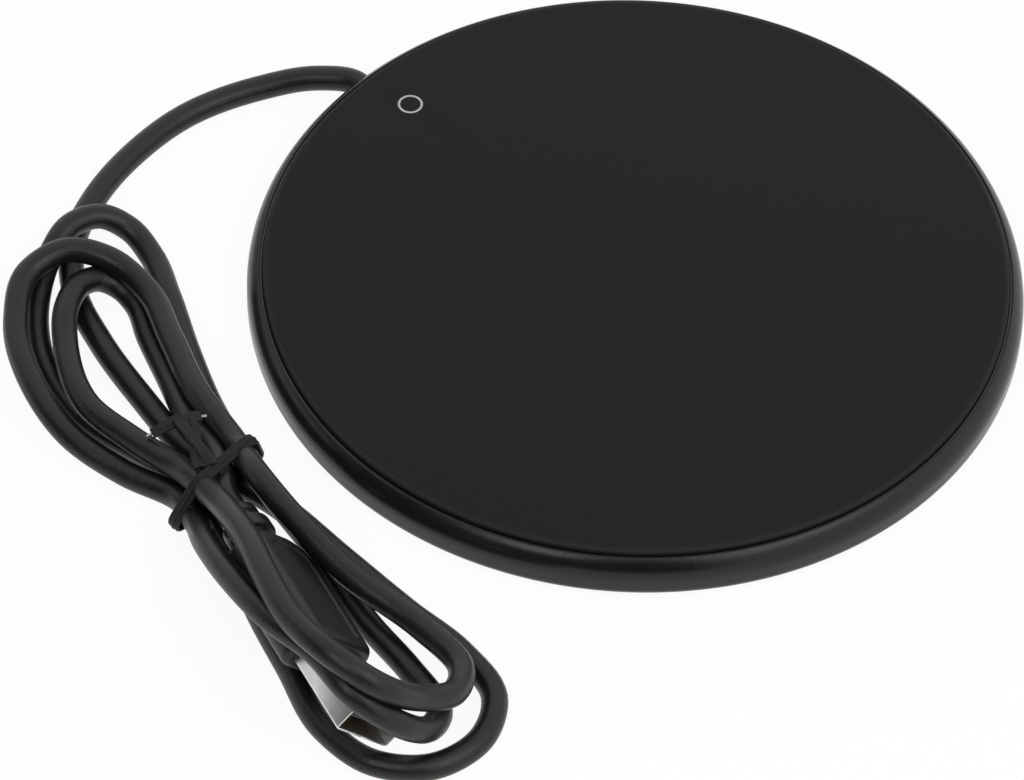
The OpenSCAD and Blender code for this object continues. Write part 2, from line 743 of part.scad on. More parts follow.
module plug_grip() {
    color([0.04, 0.04, 0.042])
        in_plug()
            difference() {
                intersection() {
                    along_plug(shell_l, grip_back) round_rect(grip_w, grip_h, grip_r);
                    translate([0, 0, -grip_h]) linear_extrude(2 * grip_h) grip_plan();
                    translate([-grip_w, shell_l + grip_l / 2, 0])
                        rotate([0, 90, 0]) linear_extrude(2 * grip_w) round_rect(grip_h, grip_l, grip_r);
                }
                along_plug(shell_l - 1, shell_l + shell_root) square([shell_w, shell_h], center = true);
            }
}

module plug_neck() {
    // Each step: where it starts and ends along the neck, and how much smaller it is all round
    steps = [[0, 0.17, 1.3], [0.17, 0.53, 0.4], [0.53, 0.71, 1.5], [0.71, 0.93, 1.1], [0.93, 1, 1.4]];
    color([0.04, 0.04, 0.042])
        in_plug()
            for (s = steps)
                along_plug(grip_back + neck_l * s[0], grip_back + neck_l * s[1])
                    round_rect(neck_w - 2 * s[2] - 2 * s[1], neck_h - 2 * s[2], neck_h * 0.28);
}

module plug_shell() {
    window = 2.2;
    window_x = 2.5;
    window_y = 5.2;
    color([0.78, 0.79, 0.81])
        in_plug()
            difference() {
                along_plug(0, shell_l + shell_root) round_rect(shell_w, shell_h, 0.4);
                along_plug(-eps, shell_l + shell_root + eps)
                    square([shell_w - 2 * shell_wall, shell_h - 2 * shell_wall], center = true);
                for (sx = [-1, 1])
                    translate([sx * window_x - window / 2, window_y, -shell_h])
                        cube([window, window, 2 * shell_h]);
            }
}

module plug_tongue() {
    tongue_top = shell_h / 2 - shell_wall;
    color([0.05, 0.05, 0.052])
        in_plug() {
            translate([-shell_w / 2 + shell_wall, 0.6, tongue_top - tongue_t])
                cube([shell_w - 2 * shell_wall, shell_l + shell_root - 0.6, tongue_t]);
            translate([-shell_w / 2 + shell_wall, shell_l - 2, -tongue_top])
                cube([shell_w - 2 * shell_wall, shell_root + 2, 2 * tongue_top]);
        }
}

module plug_contacts() {
    contact_z = shell_h / 2 - shell_wall - tongue_t;
    contact_t = 0.2;
    color([0.85, 0.68, 0.25])
        in_plug()
            for (x = [-3.5, -1, 1, 3.5])
                translate([x - 0.5, abs(x) > 2 ? 1.2 : 2.2, contact_z - contact_t])
                    cube([1, shell_l - 2 - (abs(x) > 2 ? 1.2 : 2.2), contact_t]);
}

module tie_outline(extra) {
    hull() for (s = tie_strands) translate(s) circle(cord_d / 2 + extra, $fn = 32);
}

// Strip between two points, as wide as the tie's band is at its ends
module strip(from, to, thick = tie_t) {
    hull() {
        translate(from) cylinder(h = thick, d = tie_w * 0.7, $fn = 16);
        translate(to) cylinder(h = thick, d = tie_w * 0.7, $fn = 16);
    }
}

module tie_band() {
    color([0.03, 0.03, 0.03]) {
        translate([tie_mid[0], tie_mid[1], 0]) rotate(tie_turn) rotate([90 + tie_lean, 0, 0])
            linear_extrude(tie_w, center = true)
                difference() {
                    tie_outline(tie_gap + tie_t);
                    tie_outline(tie_gap);
                }
        strip(tie_root, tie_knot, 1.3);
        strip(tie_knot, tie_tip_left);
        strip(tie_knot, tie_tip_right);
    }
}

module tie_wire() {
    color([0.75, 0.75, 0.76])
        for (tip = [tie_tip_left, tie_tip_right]) {
            way = unit(tip - tie_knot);
            start = tip + way * tie_w * 0.35 + [0, 0, tie_t / 2];
            rod(start, start + way * 0.9, tie_wire_d / 2);
        }
}

rim_housing();
base_cover();
foot_pads();
case_screws();
circuit_board();
board_screws();
control_chip();
power_transistor();
chip_capacitors();
chip_resistors();
indicator_lamp();
switch_body();
switch_plunger();
warming_plate();
light_ring();
light_pipe();
heat_spreader();
heater_film();
heater_trace();
insulation_pad();
plate_carrier();
shoulder_screws();
thermistor();
thermal_fuse();
spring_front();
spring_right();
spring_left();
heater_leads();
sensor_leads();
power_leads();
cord_anchor();
cord();
plug_grip();
plug_neck();
plug_shell();
plug_tongue();
plug_contacts();
tie_band();
tie_wire();
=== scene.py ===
"""Electric mug warmer: the looks of its pieces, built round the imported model.

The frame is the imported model's: origin at the bottom centre of the housing, +Z up, and the cord
leaves the housing towards +Y. Lengths are written in millimetres and go through mm() or MM, which
give metres, the unit of every object in the scene.
"""

import logging
import math
from abc import ABC, abstractmethod
from collections.abc import Callable, Iterator, Mapping, Sequence
from contextlib import contextmanager
from dataclasses import dataclass, field
from enum import Enum, IntEnum
from functools import cache
from typing import NamedTuple

import bmesh
import bpy
from mathutils import Matrix, Vector


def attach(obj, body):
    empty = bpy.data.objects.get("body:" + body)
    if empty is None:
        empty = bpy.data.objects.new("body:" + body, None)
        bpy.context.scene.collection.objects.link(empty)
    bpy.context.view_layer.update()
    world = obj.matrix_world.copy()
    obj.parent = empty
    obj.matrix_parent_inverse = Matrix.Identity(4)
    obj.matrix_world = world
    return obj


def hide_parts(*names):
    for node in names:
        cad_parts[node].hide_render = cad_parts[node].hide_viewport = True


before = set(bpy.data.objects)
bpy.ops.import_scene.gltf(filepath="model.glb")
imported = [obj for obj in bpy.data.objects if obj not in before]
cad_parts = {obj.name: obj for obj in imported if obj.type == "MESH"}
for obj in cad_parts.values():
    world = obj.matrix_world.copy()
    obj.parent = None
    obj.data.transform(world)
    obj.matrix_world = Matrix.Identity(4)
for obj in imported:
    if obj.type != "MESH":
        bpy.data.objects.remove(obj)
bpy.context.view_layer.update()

LOG = logging.getLogger("mug_warmer")
MM = 0.001
Colour = tuple[float, float, float]
Point = tuple[float, float, float]
Flat = tuple[float, float]


class Body(Enum):
    """Bodies of the mechanism that a piece can ride on."""

    HOUSING = "housing"
    PLATE = "plate"


class Facets(IntEnum):
    """How many facets go round a turned piece."""

    BODY = 288
    RING = 96
    ROUND = 64
    POST = 48
    WIRE = 24


def mm(*lengths: float) -> tuple[float, ...]:
    """Turn millimetres into metres.

    Args:
        lengths: Numbers in millimetres.

    Returns:
        The same lengths in metres.
    """
    return tuple(length * MM for length in lengths)


def moved(x: float, y: float, z: float) -> Matrix:
    """Return a move by that many millimetres."""
    return Matrix.Translation(mm(x, y, z))


def turned_by(degrees: float, axis: str) -> Matrix:
    """Return a turn about X, Y or Z."""
    return Matrix.Rotation(math.radians(degrees), 4, axis)


def direction(azimuth: float, rise: float) -> Vector:
    """Return the unit vector with that azimuth from +X and that rise, in degrees."""
    around, up = math.radians(azimuth), math.radians(rise)
    return Vector((math.cos(around) * math.cos(up), math.sin(around) * math.cos(up), math.sin(up)))


def grey(level: float) -> tuple[float, float, float, float]:
    """Return a neutral colour with full alpha."""
    return (level, level, level, 1.0)


# ---------------------------------------------------------------------------------------------
# Shader graphs


class Signal:
    """A number, colour or vector that changes over a surface: one output of a shader node."""

    def __init__(self, graph: "Graph", socket: bpy.types.NodeSocket) -> None:
        """Keep the graph and the node's output socket."""
        self.graph = graph
        self.socket = socket

    def __add__(self, other: "Signal | float") -> "Signal":
        """Return the sum."""
        return self.graph.math("ADD", self, other)

    def __radd__(self, other: float) -> "Signal":
        """Return the sum, with the number first."""
        return self.graph.math("ADD", other, self)

    def __mul__(self, other: "Signal | float") -> "Signal":
        """Return the product."""
        return self.graph.math("MULTIPLY", self, other)

    def __rmul__(self, other: float) -> "Signal":
        """Return the product, with the number first."""
        return self.graph.math("MULTIPLY", other, self)

    def __pow__(self, other: float) -> "Signal":
        """Return the power."""
        return self.graph.math("POWER", self, other)

    def sine(self) -> "Signal":
        """Return the sine of an angle in radians."""
        return self.graph.math("SINE", self, 0.0)

    def ramp(self, low: float, high: float) -> "Signal":
        """Rise smoothly from 0 to 1 between two values.

        Args:
            low: Value that gives 0.
            high: Value that gives 1. It may be less than low, and the ramp then falls.

        Returns:
            The smoothed share.
        """
        return self.graph.signal(
            "MapRange",
            "Result",
            {"interpolation_type": "SMOOTHSTEP", "clamp": True},
            {"Value": self, "From Min": low, "From Max": high, "To Min": 0.0, "To Max": 1.0},
        )


class Graph:
    """The node graph of a material or of the world."""

    def __init__(self, owner: bpy.types.Material | bpy.types.World) -> None:
        """Empty the owner's graph."""
        owner.use_nodes = True
        self.tree = owner.node_tree
        self.tree.nodes.clear()

    def node(
        self,
        kind: str,
        settings: Mapping[str, object] | None = None,
        inputs: Mapping[str | int, object] | None = None,
    ) -> bpy.types.Node:
        """Add one node.

        Args:
            kind: Blender's name of the node type, without ShaderNode.
            settings: Properties of the node, set before its sockets.
            inputs: Values or signals for the node's inputs, by name or number.

        Returns:
            The new node.
        """
        made = self.tree.nodes.new("ShaderNode" + kind)
        for name, value in (settings or {}).items():
            setattr(made, name, value)
        for key, value in (inputs or {}).items():
            if isinstance(value, Signal):
                self.tree.links.new(value.socket, made.inputs[key])
            else:
                made.inputs[key].default_value = value
        return made

    def signal(
        self,
        kind: str,
        output: str | int = 0,
        settings: Mapping[str, object] | None = None,
        inputs: Mapping[str | int, object] | None = None,
    ) -> Signal:
        """Add one node and give one of its outputs.

        Args:
            kind: As in node().
            output: Name or number of the output.
            settings: As in node().
            inputs: As in node().

        Returns:
            The output.
        """
        return Signal(self, self.node(kind, settings, inputs).outputs[output])

    def math(self, operation: str, left: Signal | float, right: Signal | float) -> Signal:
        """Work out one operation on two values.

        Args:
            operation: Blender's name of the Math node's operation.
            left: First value.
            right: Second value.

        Returns:
            The result.
        """
        return self.signal("Math", 0, {"operation": operation}, {0: left, 1: right})

    def place(self, output: str = "Object") -> Signal:
        """Return the point on the piece, in the frame's metres, or on its UV map for UV."""
        return self.signal("TexCoord", output)

    def stretched(self, vector: Signal, scale: Point, turn: float = 0.0) -> Signal:
        """Turn a pattern about Z and stretch it.

        Args:
            vector: Coordinates to change.
            scale: Factor along each axis.
            turn: Turn about Z in degrees.

        Returns:
            The changed coordinates.
        """
        spin = (0.0, 0.0, math.radians(turn))
        changes = {"Vector": vector, "Scale": scale, "Rotation": spin}
        return self.signal("Mapping", 0, {"vector_type": "POINT"}, changes)

    def parts(self, vector: Signal) -> tuple[Signal, Signal, Signal]:
        """Split a vector into its X, Y and Z."""
        node = self.node("SeparateXYZ", inputs={0: vector})
        return tuple(Signal(self, node.outputs[i]) for i in range(3))

    def vector(self, x: Signal | float, y: Signal | float, z: Signal | float) -> Signal:
        """Join X, Y and Z into a vector."""
        return self.signal("CombineXYZ", inputs={0: x, 1: y, 2: z})

    def polar(self, vector: Signal) -> tuple[Signal, Signal]:
        """Give a point's turn about the Z axis in radians and its distance from it in metres."""
        x, y, _ = self.parts(vector)
        return self.math("ARCTAN2", y, x), (x * x + y * y) ** 0.5

    def noise(self, vector: Signal, scale: float, detail: float = 3.0) -> Signal:
        """Give soft noise from 0 to 1.

        Args:
            vector: Coordinates of the pattern.
            scale: Waves per unit of the coordinates.
            detail: Number of finer layers.

        Returns:
            The noise.
        """
        inputs = {"Vector": vector, "Scale": scale, "Detail": detail}
        return self.signal("TexNoise", "Fac", None, inputs)

    def tinted(self, share: Signal, first: Colour, second: Colour) -> Signal:
        """Go from one colour to another.

        Args:
            share: 0 gives the first colour and 1 the second.
            first: Linear colour.
            second: Linear colour.

        Returns:
            The mixed colour.
        """
        inputs = {0: share, 6: (*first, 1.0), 7: (*second, 1.0)}
        return self.signal("Mix", 2, {"data_type": "RGBA"}, inputs)

    def relief(self, height: Signal, depth: float) -> Signal:
        """Turn a height into a bump.

        Args:
            height: Height from 0 to 1.
            depth: Depth of the relief in metres.

        Returns:
            The bumped normal.
        """
        inputs = {"Height": height, "Distance": depth, "Strength": 1.0}
        return self.signal("Bump", "Normal", None, inputs)


# ---------------------------------------------------------------------------------------------
# Finishes


@dataclass(frozen=True)
class Finish(ABC):
    """Finish of a piece, made of the inputs of one Principled surface."""

    name: str

    @abstractmethod
    def inputs(self, graph: Graph, place: Signal) -> dict[str, object]:
        """Work out the surface's inputs.

        Args:
            graph: Graph to add nodes to.
            place: Point on the piece, in the frame's metres.

        Returns:
            Values and signals by the name of their socket.
        """

    @cache
    def build(self) -> bpy.types.Material:
        """Build the material, once for all the pieces that share the finish."""
        material = bpy.data.materials.new(self.name)
        graph = Graph(material)
        inputs = self.inputs(graph, graph.place())
        shader = graph.signal("BsdfPrincipled", 0, None, inputs)
        graph.node("OutputMaterial", None, {"Surface": shader})
        return material


@dataclass(frozen=True)
class MouldedPlastic(Finish):
    """Spark-textured moulding: a fine grain, a faint mottle and a gloss that wanders a little.

    The grain and its depth are in millimetres.
    """

    colour: Colour
    roughness: float = 0.45
    grain: float = 0.25
    grain_depth: float = 0.006
    specular: float = 0.4

    def inputs(self, graph: Graph, place: Signal) -> dict[str, object]:
        """Work out the surface's inputs."""
        mottle = graph.noise(place, 90.0, 4.0)
        grain = graph.noise(place, 1.0 / MM / self.grain, 2.0)
        lighter = tuple(min(1.0, c * 1.35 + 0.002) for c in self.colour)
        return {
            "Base Color": graph.tinted(mottle.ramp(0.3, 0.75), self.colour, lighter),
            "Roughness": self.roughness + 0.1 * mottle + 0.06 * grain,
            "Specular IOR Level": self.specular,
            "Normal": graph.relief(grain, self.grain_depth * MM),
        }


@dataclass(frozen=True)
class RimGloss(Finish):
    """Satin black of the rim, with fine wrinkles that run in towards the plate's groove.

    The radii, in millimetres, say where the wrinkles start and end and where the groove gets
    painted light: a lighter colour that lifts its shade.
    """

    name: str = "rim_gloss"
    colour: Colour = (0.0085, 0.0085, 0.009)
    painted_groove_light: Colour = (0.05, 0.05, 0.0505)
    wrinkle_from: float = 57.9
    wrinkle_to: float = 59.3
    groove_light_from: float = 57.89
    groove_light_to: float = 57.97

    def inputs(self, graph: Graph, place: Signal) -> dict[str, object]:
        """Work out the surface's inputs."""
        angle, radius = graph.polar(place)
        near_groove = radius.ramp(self.wrinkle_to * MM, self.wrinkle_from * MM)
        # painted light: the groove's step gets a lighter colour, so that it reads less dark than
        # its shade leaves it
        groove_light_share = radius.ramp(self.groove_light_to * MM, self.groove_light_from * MM)
        streaks = graph.noise(graph.vector(angle * 26.0, radius * 260.0, 0.0), 3.1, 3.0)
        fine = graph.noise(place, 2600.0, 2.0)
        wander = graph.noise(place, 70.0, 4.0)
        share = wander.ramp(0.3, 0.8) * 0.1 + groove_light_share * 0.9
        height = fine * 0.05 + streaks * near_groove * 0.9 + wander * 0.1
        return {
            "Base Color": graph.tinted(share, self.colour, self.painted_groove_light),
            "Roughness": 0.2 + 0.1 * wander + streaks * near_groove * 0.12,
            "Specular IOR Level": 0.34,
            "Normal": graph.relief(height, 0.00006),
        }


@dataclass(frozen=True)
class PlateCoat(Finish):
    """Matt baked coat of the warming plate: even, a very fine tooth, and a painted highlight round
    its edge.

    The radii of the painted edge highlight are in millimetres: a lighter ring of base colour
    stands in for the light that the rounded edge catches.
    """

    name: str = "plate_coat"
    colour: Colour = (0.0098, 0.0098, 0.01)
    painted_edge_highlight: Colour = (0.0195, 0.0195, 0.0197)
    edge_highlight_from: float = 57.0
    edge_highlight_to: float = 57.45

    def inputs(self, graph: Graph, place: Signal) -> dict[str, object]:
        """Work out the surface's inputs."""
        _, radius = graph.polar(place)
        tooth = graph.noise(place, 4200.0, 2.0)
        cloud = graph.noise(place, 28.0, 5.0)
        # painted highlight: the base colour goes lighter in a ring at the plate's rounded edge, in
        # place of the light that this edge catches
        inside = radius.ramp((self.edge_highlight_from - 0.3) * MM, self.edge_highlight_from * MM)
        outside = radius.ramp((self.edge_highlight_to + 0.1) * MM, self.edge_highlight_to * MM)
        share = cloud.ramp(0.25, 0.8) * 0.12 + inside * outside * 0.88
        return {
            "Base Color": graph.tinted(share, self.colour, self.painted_edge_highlight),
            "Roughness": 0.52 + 0.08 * cloud + 0.05 * tooth,
            "Specular IOR Level": 0.165,
            "Normal": graph.relief(tooth, 0.000004),
        }


@dataclass(frozen=True)
class CordJacket(Finish):
    """Soft extruded jacket, with faint lines along it and a slight orange peel.

    The UV map runs along the cord in U and round it in V. The length is in millimetres.
    """

    name: str = "cord_jacket"
    colour: Colour = (0.006, 0.006, 0.0063)
    paler: Colour = (0.009, 0.009, 0.0093)
    length: float = 896.0

    def inputs(self, graph: Graph, place: Signal) -> dict[str, object]:
        """Work out the surface's inputs."""
        along, round_it, _ = graph.parts(graph.place("UV"))
        turn = round_it * math.tau
        across, up = turn.sine() * 2.2, (turn + math.pi / 2).sine() * 2.2
        lines = graph.noise(graph.vector(across, up, along * (self.length / 60.0)), 2.0, 4.0)
        peel = graph.noise(place, 1500.0, 3.0)
        wander = graph.noise(place, 120.0, 3.0)
        return {
            "Base Color": graph.tinted(wander.ramp(0.3, 0.8), self.colour, self.paler),
            "Roughness": 0.27 + 0.12 * lines + 0.1 * peel,
            "Specular IOR Level": 0.4,
            "Normal": graph.relief(lines * 0.5 + peel * 0.5, 0.00011),
        }


@dataclass(frozen=True)
class DrawnMetal(Finish):
    """Rolled or plated metal with fine lines along one way of the piece."""

    colour: Colour
    roughness: float = 0.28
    line_scale: Point = (60.0, 4000.0, 4000.0)
    turn: float = 0.0

    def inputs(self, graph: Graph, place: Signal) -> dict[str, object]:
        """Work out the surface's inputs."""
        lines = graph.noise(graph.stretched(place, self.line_scale, self.turn), 1.0, 3.0)
        tarnish = graph.noise(place, 260.0, 4.0)
        darker = tuple(c * 0.72 for c in self.colour)
        return {
            "Base Color": graph.tinted(tarnish.ramp(0.35, 0.85), self.colour, darker),
            "Roughness": self.roughness + 0.14 * tarnish + 0.08 * lines,
            "Metallic": 1.0,
            "Normal": graph.relief(lines, 0.000003),
        }


@dataclass(frozen=True)
class BoardLacquer(Finish):
    """Lacquer over a circuit board, with the copper tracks showing through as lighter lines."""

    name: str = "board_lacquer"
    colour: Colour = (0.012, 0.075, 0.03)
    track: Colour = (0.05, 0.2, 0.09)

    def inputs(self, graph: Graph, place: Signal) -> dict[str, object]:
        """Work out the surface's inputs."""
        x, y, _ = graph.parts(place)
        across = ((x * 3100.0).sine() * 0.5 + 0.5).ramp(0.86, 0.95)
        along = ((y * 2300.0).sine() * 0.5 + 0.5).ramp(0.88, 0.96)
        patches = graph.noise(place, 150.0, 1.0)
        tracks = across * patches.ramp(0.52, 0.54) + along * patches.ramp(0.47, 0.45)
        weave = graph.noise(place, 2500.0, 2.0)
        return {
            "Base Color": graph.tinted(tracks.ramp(0.0, 1.0), self.colour, self.track),
            "Roughness": 0.32 + 0.1 * weave,
            "Specular IOR Level": 0.5,
            "Normal": graph.relief(tracks * 0.6 + weave * 0.4, 0.00002),
        }


@dataclass(frozen=True)
class FibreFelt(Finish):
    """Pressed fibre of the insulation pad."""

    name: str = "fibre_felt"
    colour: Colour = (0.62, 0.59, 0.52)
    shade: Colour = (0.5, 0.47, 0.4)

    def inputs(self, graph: Graph, place: Signal) -> dict[str, object]:
        """Work out the surface's inputs."""
        fibres = graph.noise(graph.stretched(place, (5200.0, 900.0, 2000.0), 25.0), 1.0, 4.0)
        crossing = graph.noise(graph.stretched(place, (900.0, 5200.0, 2000.0), 70.0), 1.0, 4.0)
        mix = fibres * 0.5 + crossing * 0.5
        return {
            "Base Color": graph.tinted(mix.ramp(0.3, 0.7), self.shade, self.colour),
            "Roughness": 0.85 + 0.1 * mix,
            "Specular IOR Level": 0.2,
            "Normal": graph.relief(mix, 0.00008),
        }


@dataclass(frozen=True)
class SmoothPolymer(Finish):
    """Smooth, slightly clear polymer: light pipe, ring window, film, wire sleeves."""

    colour: Colour
    roughness: float = 0.25
    transmission: float = 0.0

    def inputs(self, graph: Graph, place: Signal) -> dict[str, object]:
        """Work out the surface's inputs."""
        flow = graph.noise(place, 420.0, 3.0)
        paler = tuple(min(1.0, c * 1.12 + 0.004) for c in self.colour)
        return {
            "Base Color": graph.tinted(flow.ramp(0.3, 0.75), self.colour, paler),
            "Roughness": self.roughness + 0.1 * flow,
            "Transmission Weight": self.transmission,
            "Specular IOR Level": 0.5,
            "Normal": graph.relief(flow, 0.000006),
        }


@dataclass(frozen=True)
class ClothNap(Finish):
    """Nap of the dark cloth behind the camera."""

    name: str = "dark_cloth"

    def inputs(self, graph: Graph, place: Signal) -> dict[str, object]:
        """Work out the surface's inputs."""
        nap = graph.noise(place, 40.0, 3.0)
        return {
            "Base Color": graph.tinted(nap, (0.02, 0.02, 0.02), (0.03, 0.03, 0.03)),
            "Roughness": 0.9,
            "Specular IOR Level": 0.0,
        }


# ---------------------------------------------------------------------------------------------
# Modelling


class Corner(NamedTuple):
    """Corner of an outline in millimetres, and the radius that it is rounded to."""

    out: float
    up: float
    radius: float = 0.0
    steps: int = 5


Outline = Sequence[Corner | Flat]


def arc(centre: Flat, radius: float, first: float, last: float, steps: int) -> list[Flat]:
    """Give points on an arc.

    Args:
        centre: Middle of the circle.
        radius: Radius of the circle.
        first: Angle of the first point in radians.
        last: Angle of the last point in radians.
        steps: Number of parts.

    Returns:
        The points, one more than there are parts.
    """
    turns = (first + (last - first) * k / steps for k in range(steps + 1))
    return [(centre[0] + radius * math.cos(a), centre[1] + radius * math.sin(a)) for a in turns]


def rounded(outline: Outline, closed: bool = False) -> list[Flat]:
    """Round the corners of an outline.

    Args:
        outline: Corners in order. A bare point is a sharp corner.
        closed: Whether the last corner joins the first.

    Returns:
        Points of the outline, in millimetres.
    """
    corners = [Corner(*corner) for corner in outline]
    points: list[Flat] = []
    for i, corner in enumerate(corners):
        if corner.radius <= 0 or (not closed and i in (0, len(corners) - 1)):
            points.append(corner[:2])
            continue
        here = Vector(corner[:2])
        back = (Vector(corners[i - 1][:2]) - here).normalized()
        ahead = (Vector(corners[(i + 1) % len(corners)][:2]) - here).normalized()
        half = back.angle(ahead) / 2
        centre = here + (back + ahead).normalized() * corner.radius / math.sin(half)
        start = here + back * corner.radius / math.tan(half) - centre
        end = here + ahead * corner.radius / math.tan(half) - centre
        first = math.atan2(start.y, start.x)
        sweep = (math.atan2(end.y, end.x) - first + math.pi) % math.tau - math.pi
        points += arc(tuple(centre), corner.radius, first, first + sweep, corner.steps)
    return points


class Bench:
    """Modelling operators, each with its own selection made first."""

    @staticmethod
    def clear() -> None:
        """Leave edit mode and deselect everything."""
        if bpy.context.mode != "OBJECT":
            bpy.ops.object.mode_set(mode="OBJECT")
        bpy.ops.object.select_all(action="DESELECT")

    @classmethod
    def pick(cls, *pieces: bpy.types.Object) -> None:
        """Select these pieces only, the first of them active."""
        cls.clear()
        for piece in pieces:
            piece.select_set(True)
        bpy.context.view_layer.objects.active = pieces[0]

    @staticmethod
    def named(name: str) -> bpy.types.Object:
        """Name the active piece, and put its place in its mesh."""
        piece = bpy.context.active_object
        piece.name = piece.data.name = name
        bpy.ops.object.transform_apply(location=True, rotation=True, scale=True)
        return piece

    @classmethod
    @contextmanager
    def edit(cls, piece: bpy.types.Object, kind: str = "VERT") -> Iterator[bmesh.types.BMesh]:
        """Edit a piece with nothing selected.

        Args:
            piece: Mesh object.
            kind: VERT, EDGE or FACE, what is selected.

        Yields:
            The mesh under edit, for choosing by place or normal.
        """
        cls.pick(piece)
        bpy.ops.object.mode_set(mode="EDIT")
        bpy.ops.mesh.select_mode(type=kind)
        bpy.ops.mesh.select_all(action="DESELECT")
        yield bmesh.from_edit_mesh(piece.data)
        bpy.ops.object.mode_set(mode="OBJECT")

    @classmethod
    @contextmanager
    def chosen(
        cls, piece: bpy.types.Object, kind: str, wanted: Callable[[object], bool]
    ) -> Iterator[None]:
        """Edit a piece with some of its edges or faces selected.

        Args:
            piece: Mesh object.
            kind: EDGE or FACE.
            wanted: Test that a selected edge or face passes.

        Yields:
            Nothing.
        """
        with cls.edit(piece, kind) as mesh:
            for element in mesh.edges if kind == "EDGE" else mesh.faces:
                element.select_set(wanted(element))
            bmesh.update_edit_mesh(piece.data)
            yield

    @staticmethod
    def runs_along(edge: bmesh.types.BMEdge, axis: int) -> bool:
        """Tell whether an edge runs along X, Y or Z, numbered from 0."""
        run = edge.verts[0].co - edge.verts[1].co
        return abs(run[axis]) > 0.9 * run.length

    @classmethod
    def heal(cls, piece: bpy.types.Object) -> None:
        """Merge points that lie together, and point the faces outwards."""
        with cls.edit(piece):
            bpy.ops.mesh.select_all(action="SELECT")
            bpy.ops.mesh.remove_doubles(threshold=0.001 * MM)
            bpy.ops.mesh.normals_make_consistent(inside=False)

    @classmethod
    def turned(
        cls, name: str, outline: Outline, facets: Facets, closed: bool = False
    ) -> bpy.types.Object:
        """Turn an outline about the Z axis, as on a lathe.

        Args:
            name: Name of the piece.
            outline: Corners as distance from the axis and height, in millimetres.
            facets: Number of facets round the axis.
            closed: Whether the outline's last corner joins its first.

        Returns:
            The turned piece.
        """
        path = rounded(outline, closed)
        cls.clear()
        start = mm(path[0][0], 0, path[0][1])
        bpy.ops.mesh.primitive_plane_add(size=MM, location=start)
        piece = cls.named(name)
        if closed:
            path.append(path[0])
        with cls.edit(piece):
            bpy.ops.mesh.select_all(action="SELECT")
            bpy.ops.mesh.merge(type="CENTER")
            for here, there in zip(path, path[1:]):
                step = mm(there[0] - here[0], 0, there[1] - here[1])
                bpy.ops.mesh.extrude_region_move(TRANSFORM_OT_translate={"value": step})
            bpy.ops.mesh.select_all(action="SELECT")
            bpy.ops.mesh.remove_doubles(threshold=0.0005 * MM)
            bpy.ops.mesh.select_all(action="SELECT")
            bpy.ops.mesh.spin(
                steps=facets.value,
                angle=math.tau,
                center=(0, 0, 0),
                axis=(0, 0, 1),
                use_auto_merge=True,
            )
        cls.heal(piece)
        return piece

    @classmethod
    def block(
        cls, name: str, size: Point, centre: Point, rounding: float = 0.0, segments: int = 2
    ) -> bpy.types.Object:
        """Make a block with rounded edges.

        Args:
            name: Name of the piece.
            size: Size along X, Y and Z in millimetres.
            centre: Middle of the block in millimetres.
            rounding: Radius of every edge in millimetres.
            segments: Facets across a rounding.

        Returns:
            The block.
        """
        cls.clear()
        bpy.ops.mesh.primitive_cube_add(size=1, location=mm(*centre), scale=mm(*size))
        piece = cls.named(name)
        if rounding > 0:
            with cls.edit(piece, "EDGE"):
                bpy.ops.mesh.select_all(action="SELECT")
                bpy.ops.mesh.bevel(
                    offset=rounding * MM, segments=segments, affect="EDGES", clamp_overlap=True
                )
            cls.heal(piece)
        return piece

    @classmethod
    def meshed(cls, name: str, curve: bpy.types.Curve) -> bpy.types.Object:
        """Turn a curve into a mesh piece of that name."""
        piece = bpy.data.objects.new(name, curve)
        bpy.context.scene.collection.objects.link(piece)
        cls.pick(piece)
        bpy.ops.object.convert(target="MESH")
        return cls.named(name)

    @classmethod
    def settle(cls, piece: bpy.types.Object, matrix: Matrix) -> bpy.types.Object:
        """Move a piece to its place and put that place in its mesh."""
        piece.matrix_world = matrix
        cls.pick(piece)
        bpy.ops.object.transform_apply(location=True, rotation=True, scale=True)
        return piece

    @classmethod
    def ringed(
        cls, piece: bpy.types.Object, radius: float, angles: Sequence[float]
    ) -> list[bpy.types.Object]:
        """Repeat a piece round the Z axis.

        Args:
            piece: Piece on the axis. Its copies take its place.
            radius: Distance of the copies from the axis in millimetres.
            angles: Turn of each copy in degrees.

        Returns:
            The copies.
        """
        copies = []
        for angle in angles:
            cls.pick(piece)
            bpy.ops.object.duplicate(linked=False)
            place = turned_by(angle, "Z") @ moved(radius, 0, 0)
            copies.append(cls.settle(bpy.context.active_object, place))
        bpy.data.objects.remove(piece)
        return copies

    @classmethod
    def joined(cls, pieces: Sequence[bpy.types.Object], name: str) -> bpy.types.Object:
        """Join pieces into the first of them, and name it."""
        cls.pick(*pieces)
        bpy.ops.object.join()
        pieces[0].name = pieces[0].data.name = name
        return pieces[0]

    @classmethod
    def modified(cls, piece: bpy.types.Object, kind: str, **settings: object) -> bpy.types.Object:
        """Add a modifier and apply it.

        Args:
            piece: Mesh object.
            kind: Blender's name of the modifier type.
            settings: The modifier's properties.

        Returns:
            The piece.
        """
        modifier = piece.modifiers.new(kind.lower(), kind)
        for name, value in settings.items():
            setattr(modifier, name, value)
        cls.pick(piece)
        bpy.ops.object.modifier_apply(modifier=modifier.name)
        return piece

    @classmethod
    def cut(cls, piece: bpy.types.Object, *cutters: bpy.types.Object) -> bpy.types.Object:
        """Cut shapes out of a piece and remove them."""
        for cutter in cutters:
            cls.modified(piece, "BOOLEAN", operation="DIFFERENCE", solver="EXACT", object=cutter)
            bpy.data.objects.remove(cutter)
        return piece

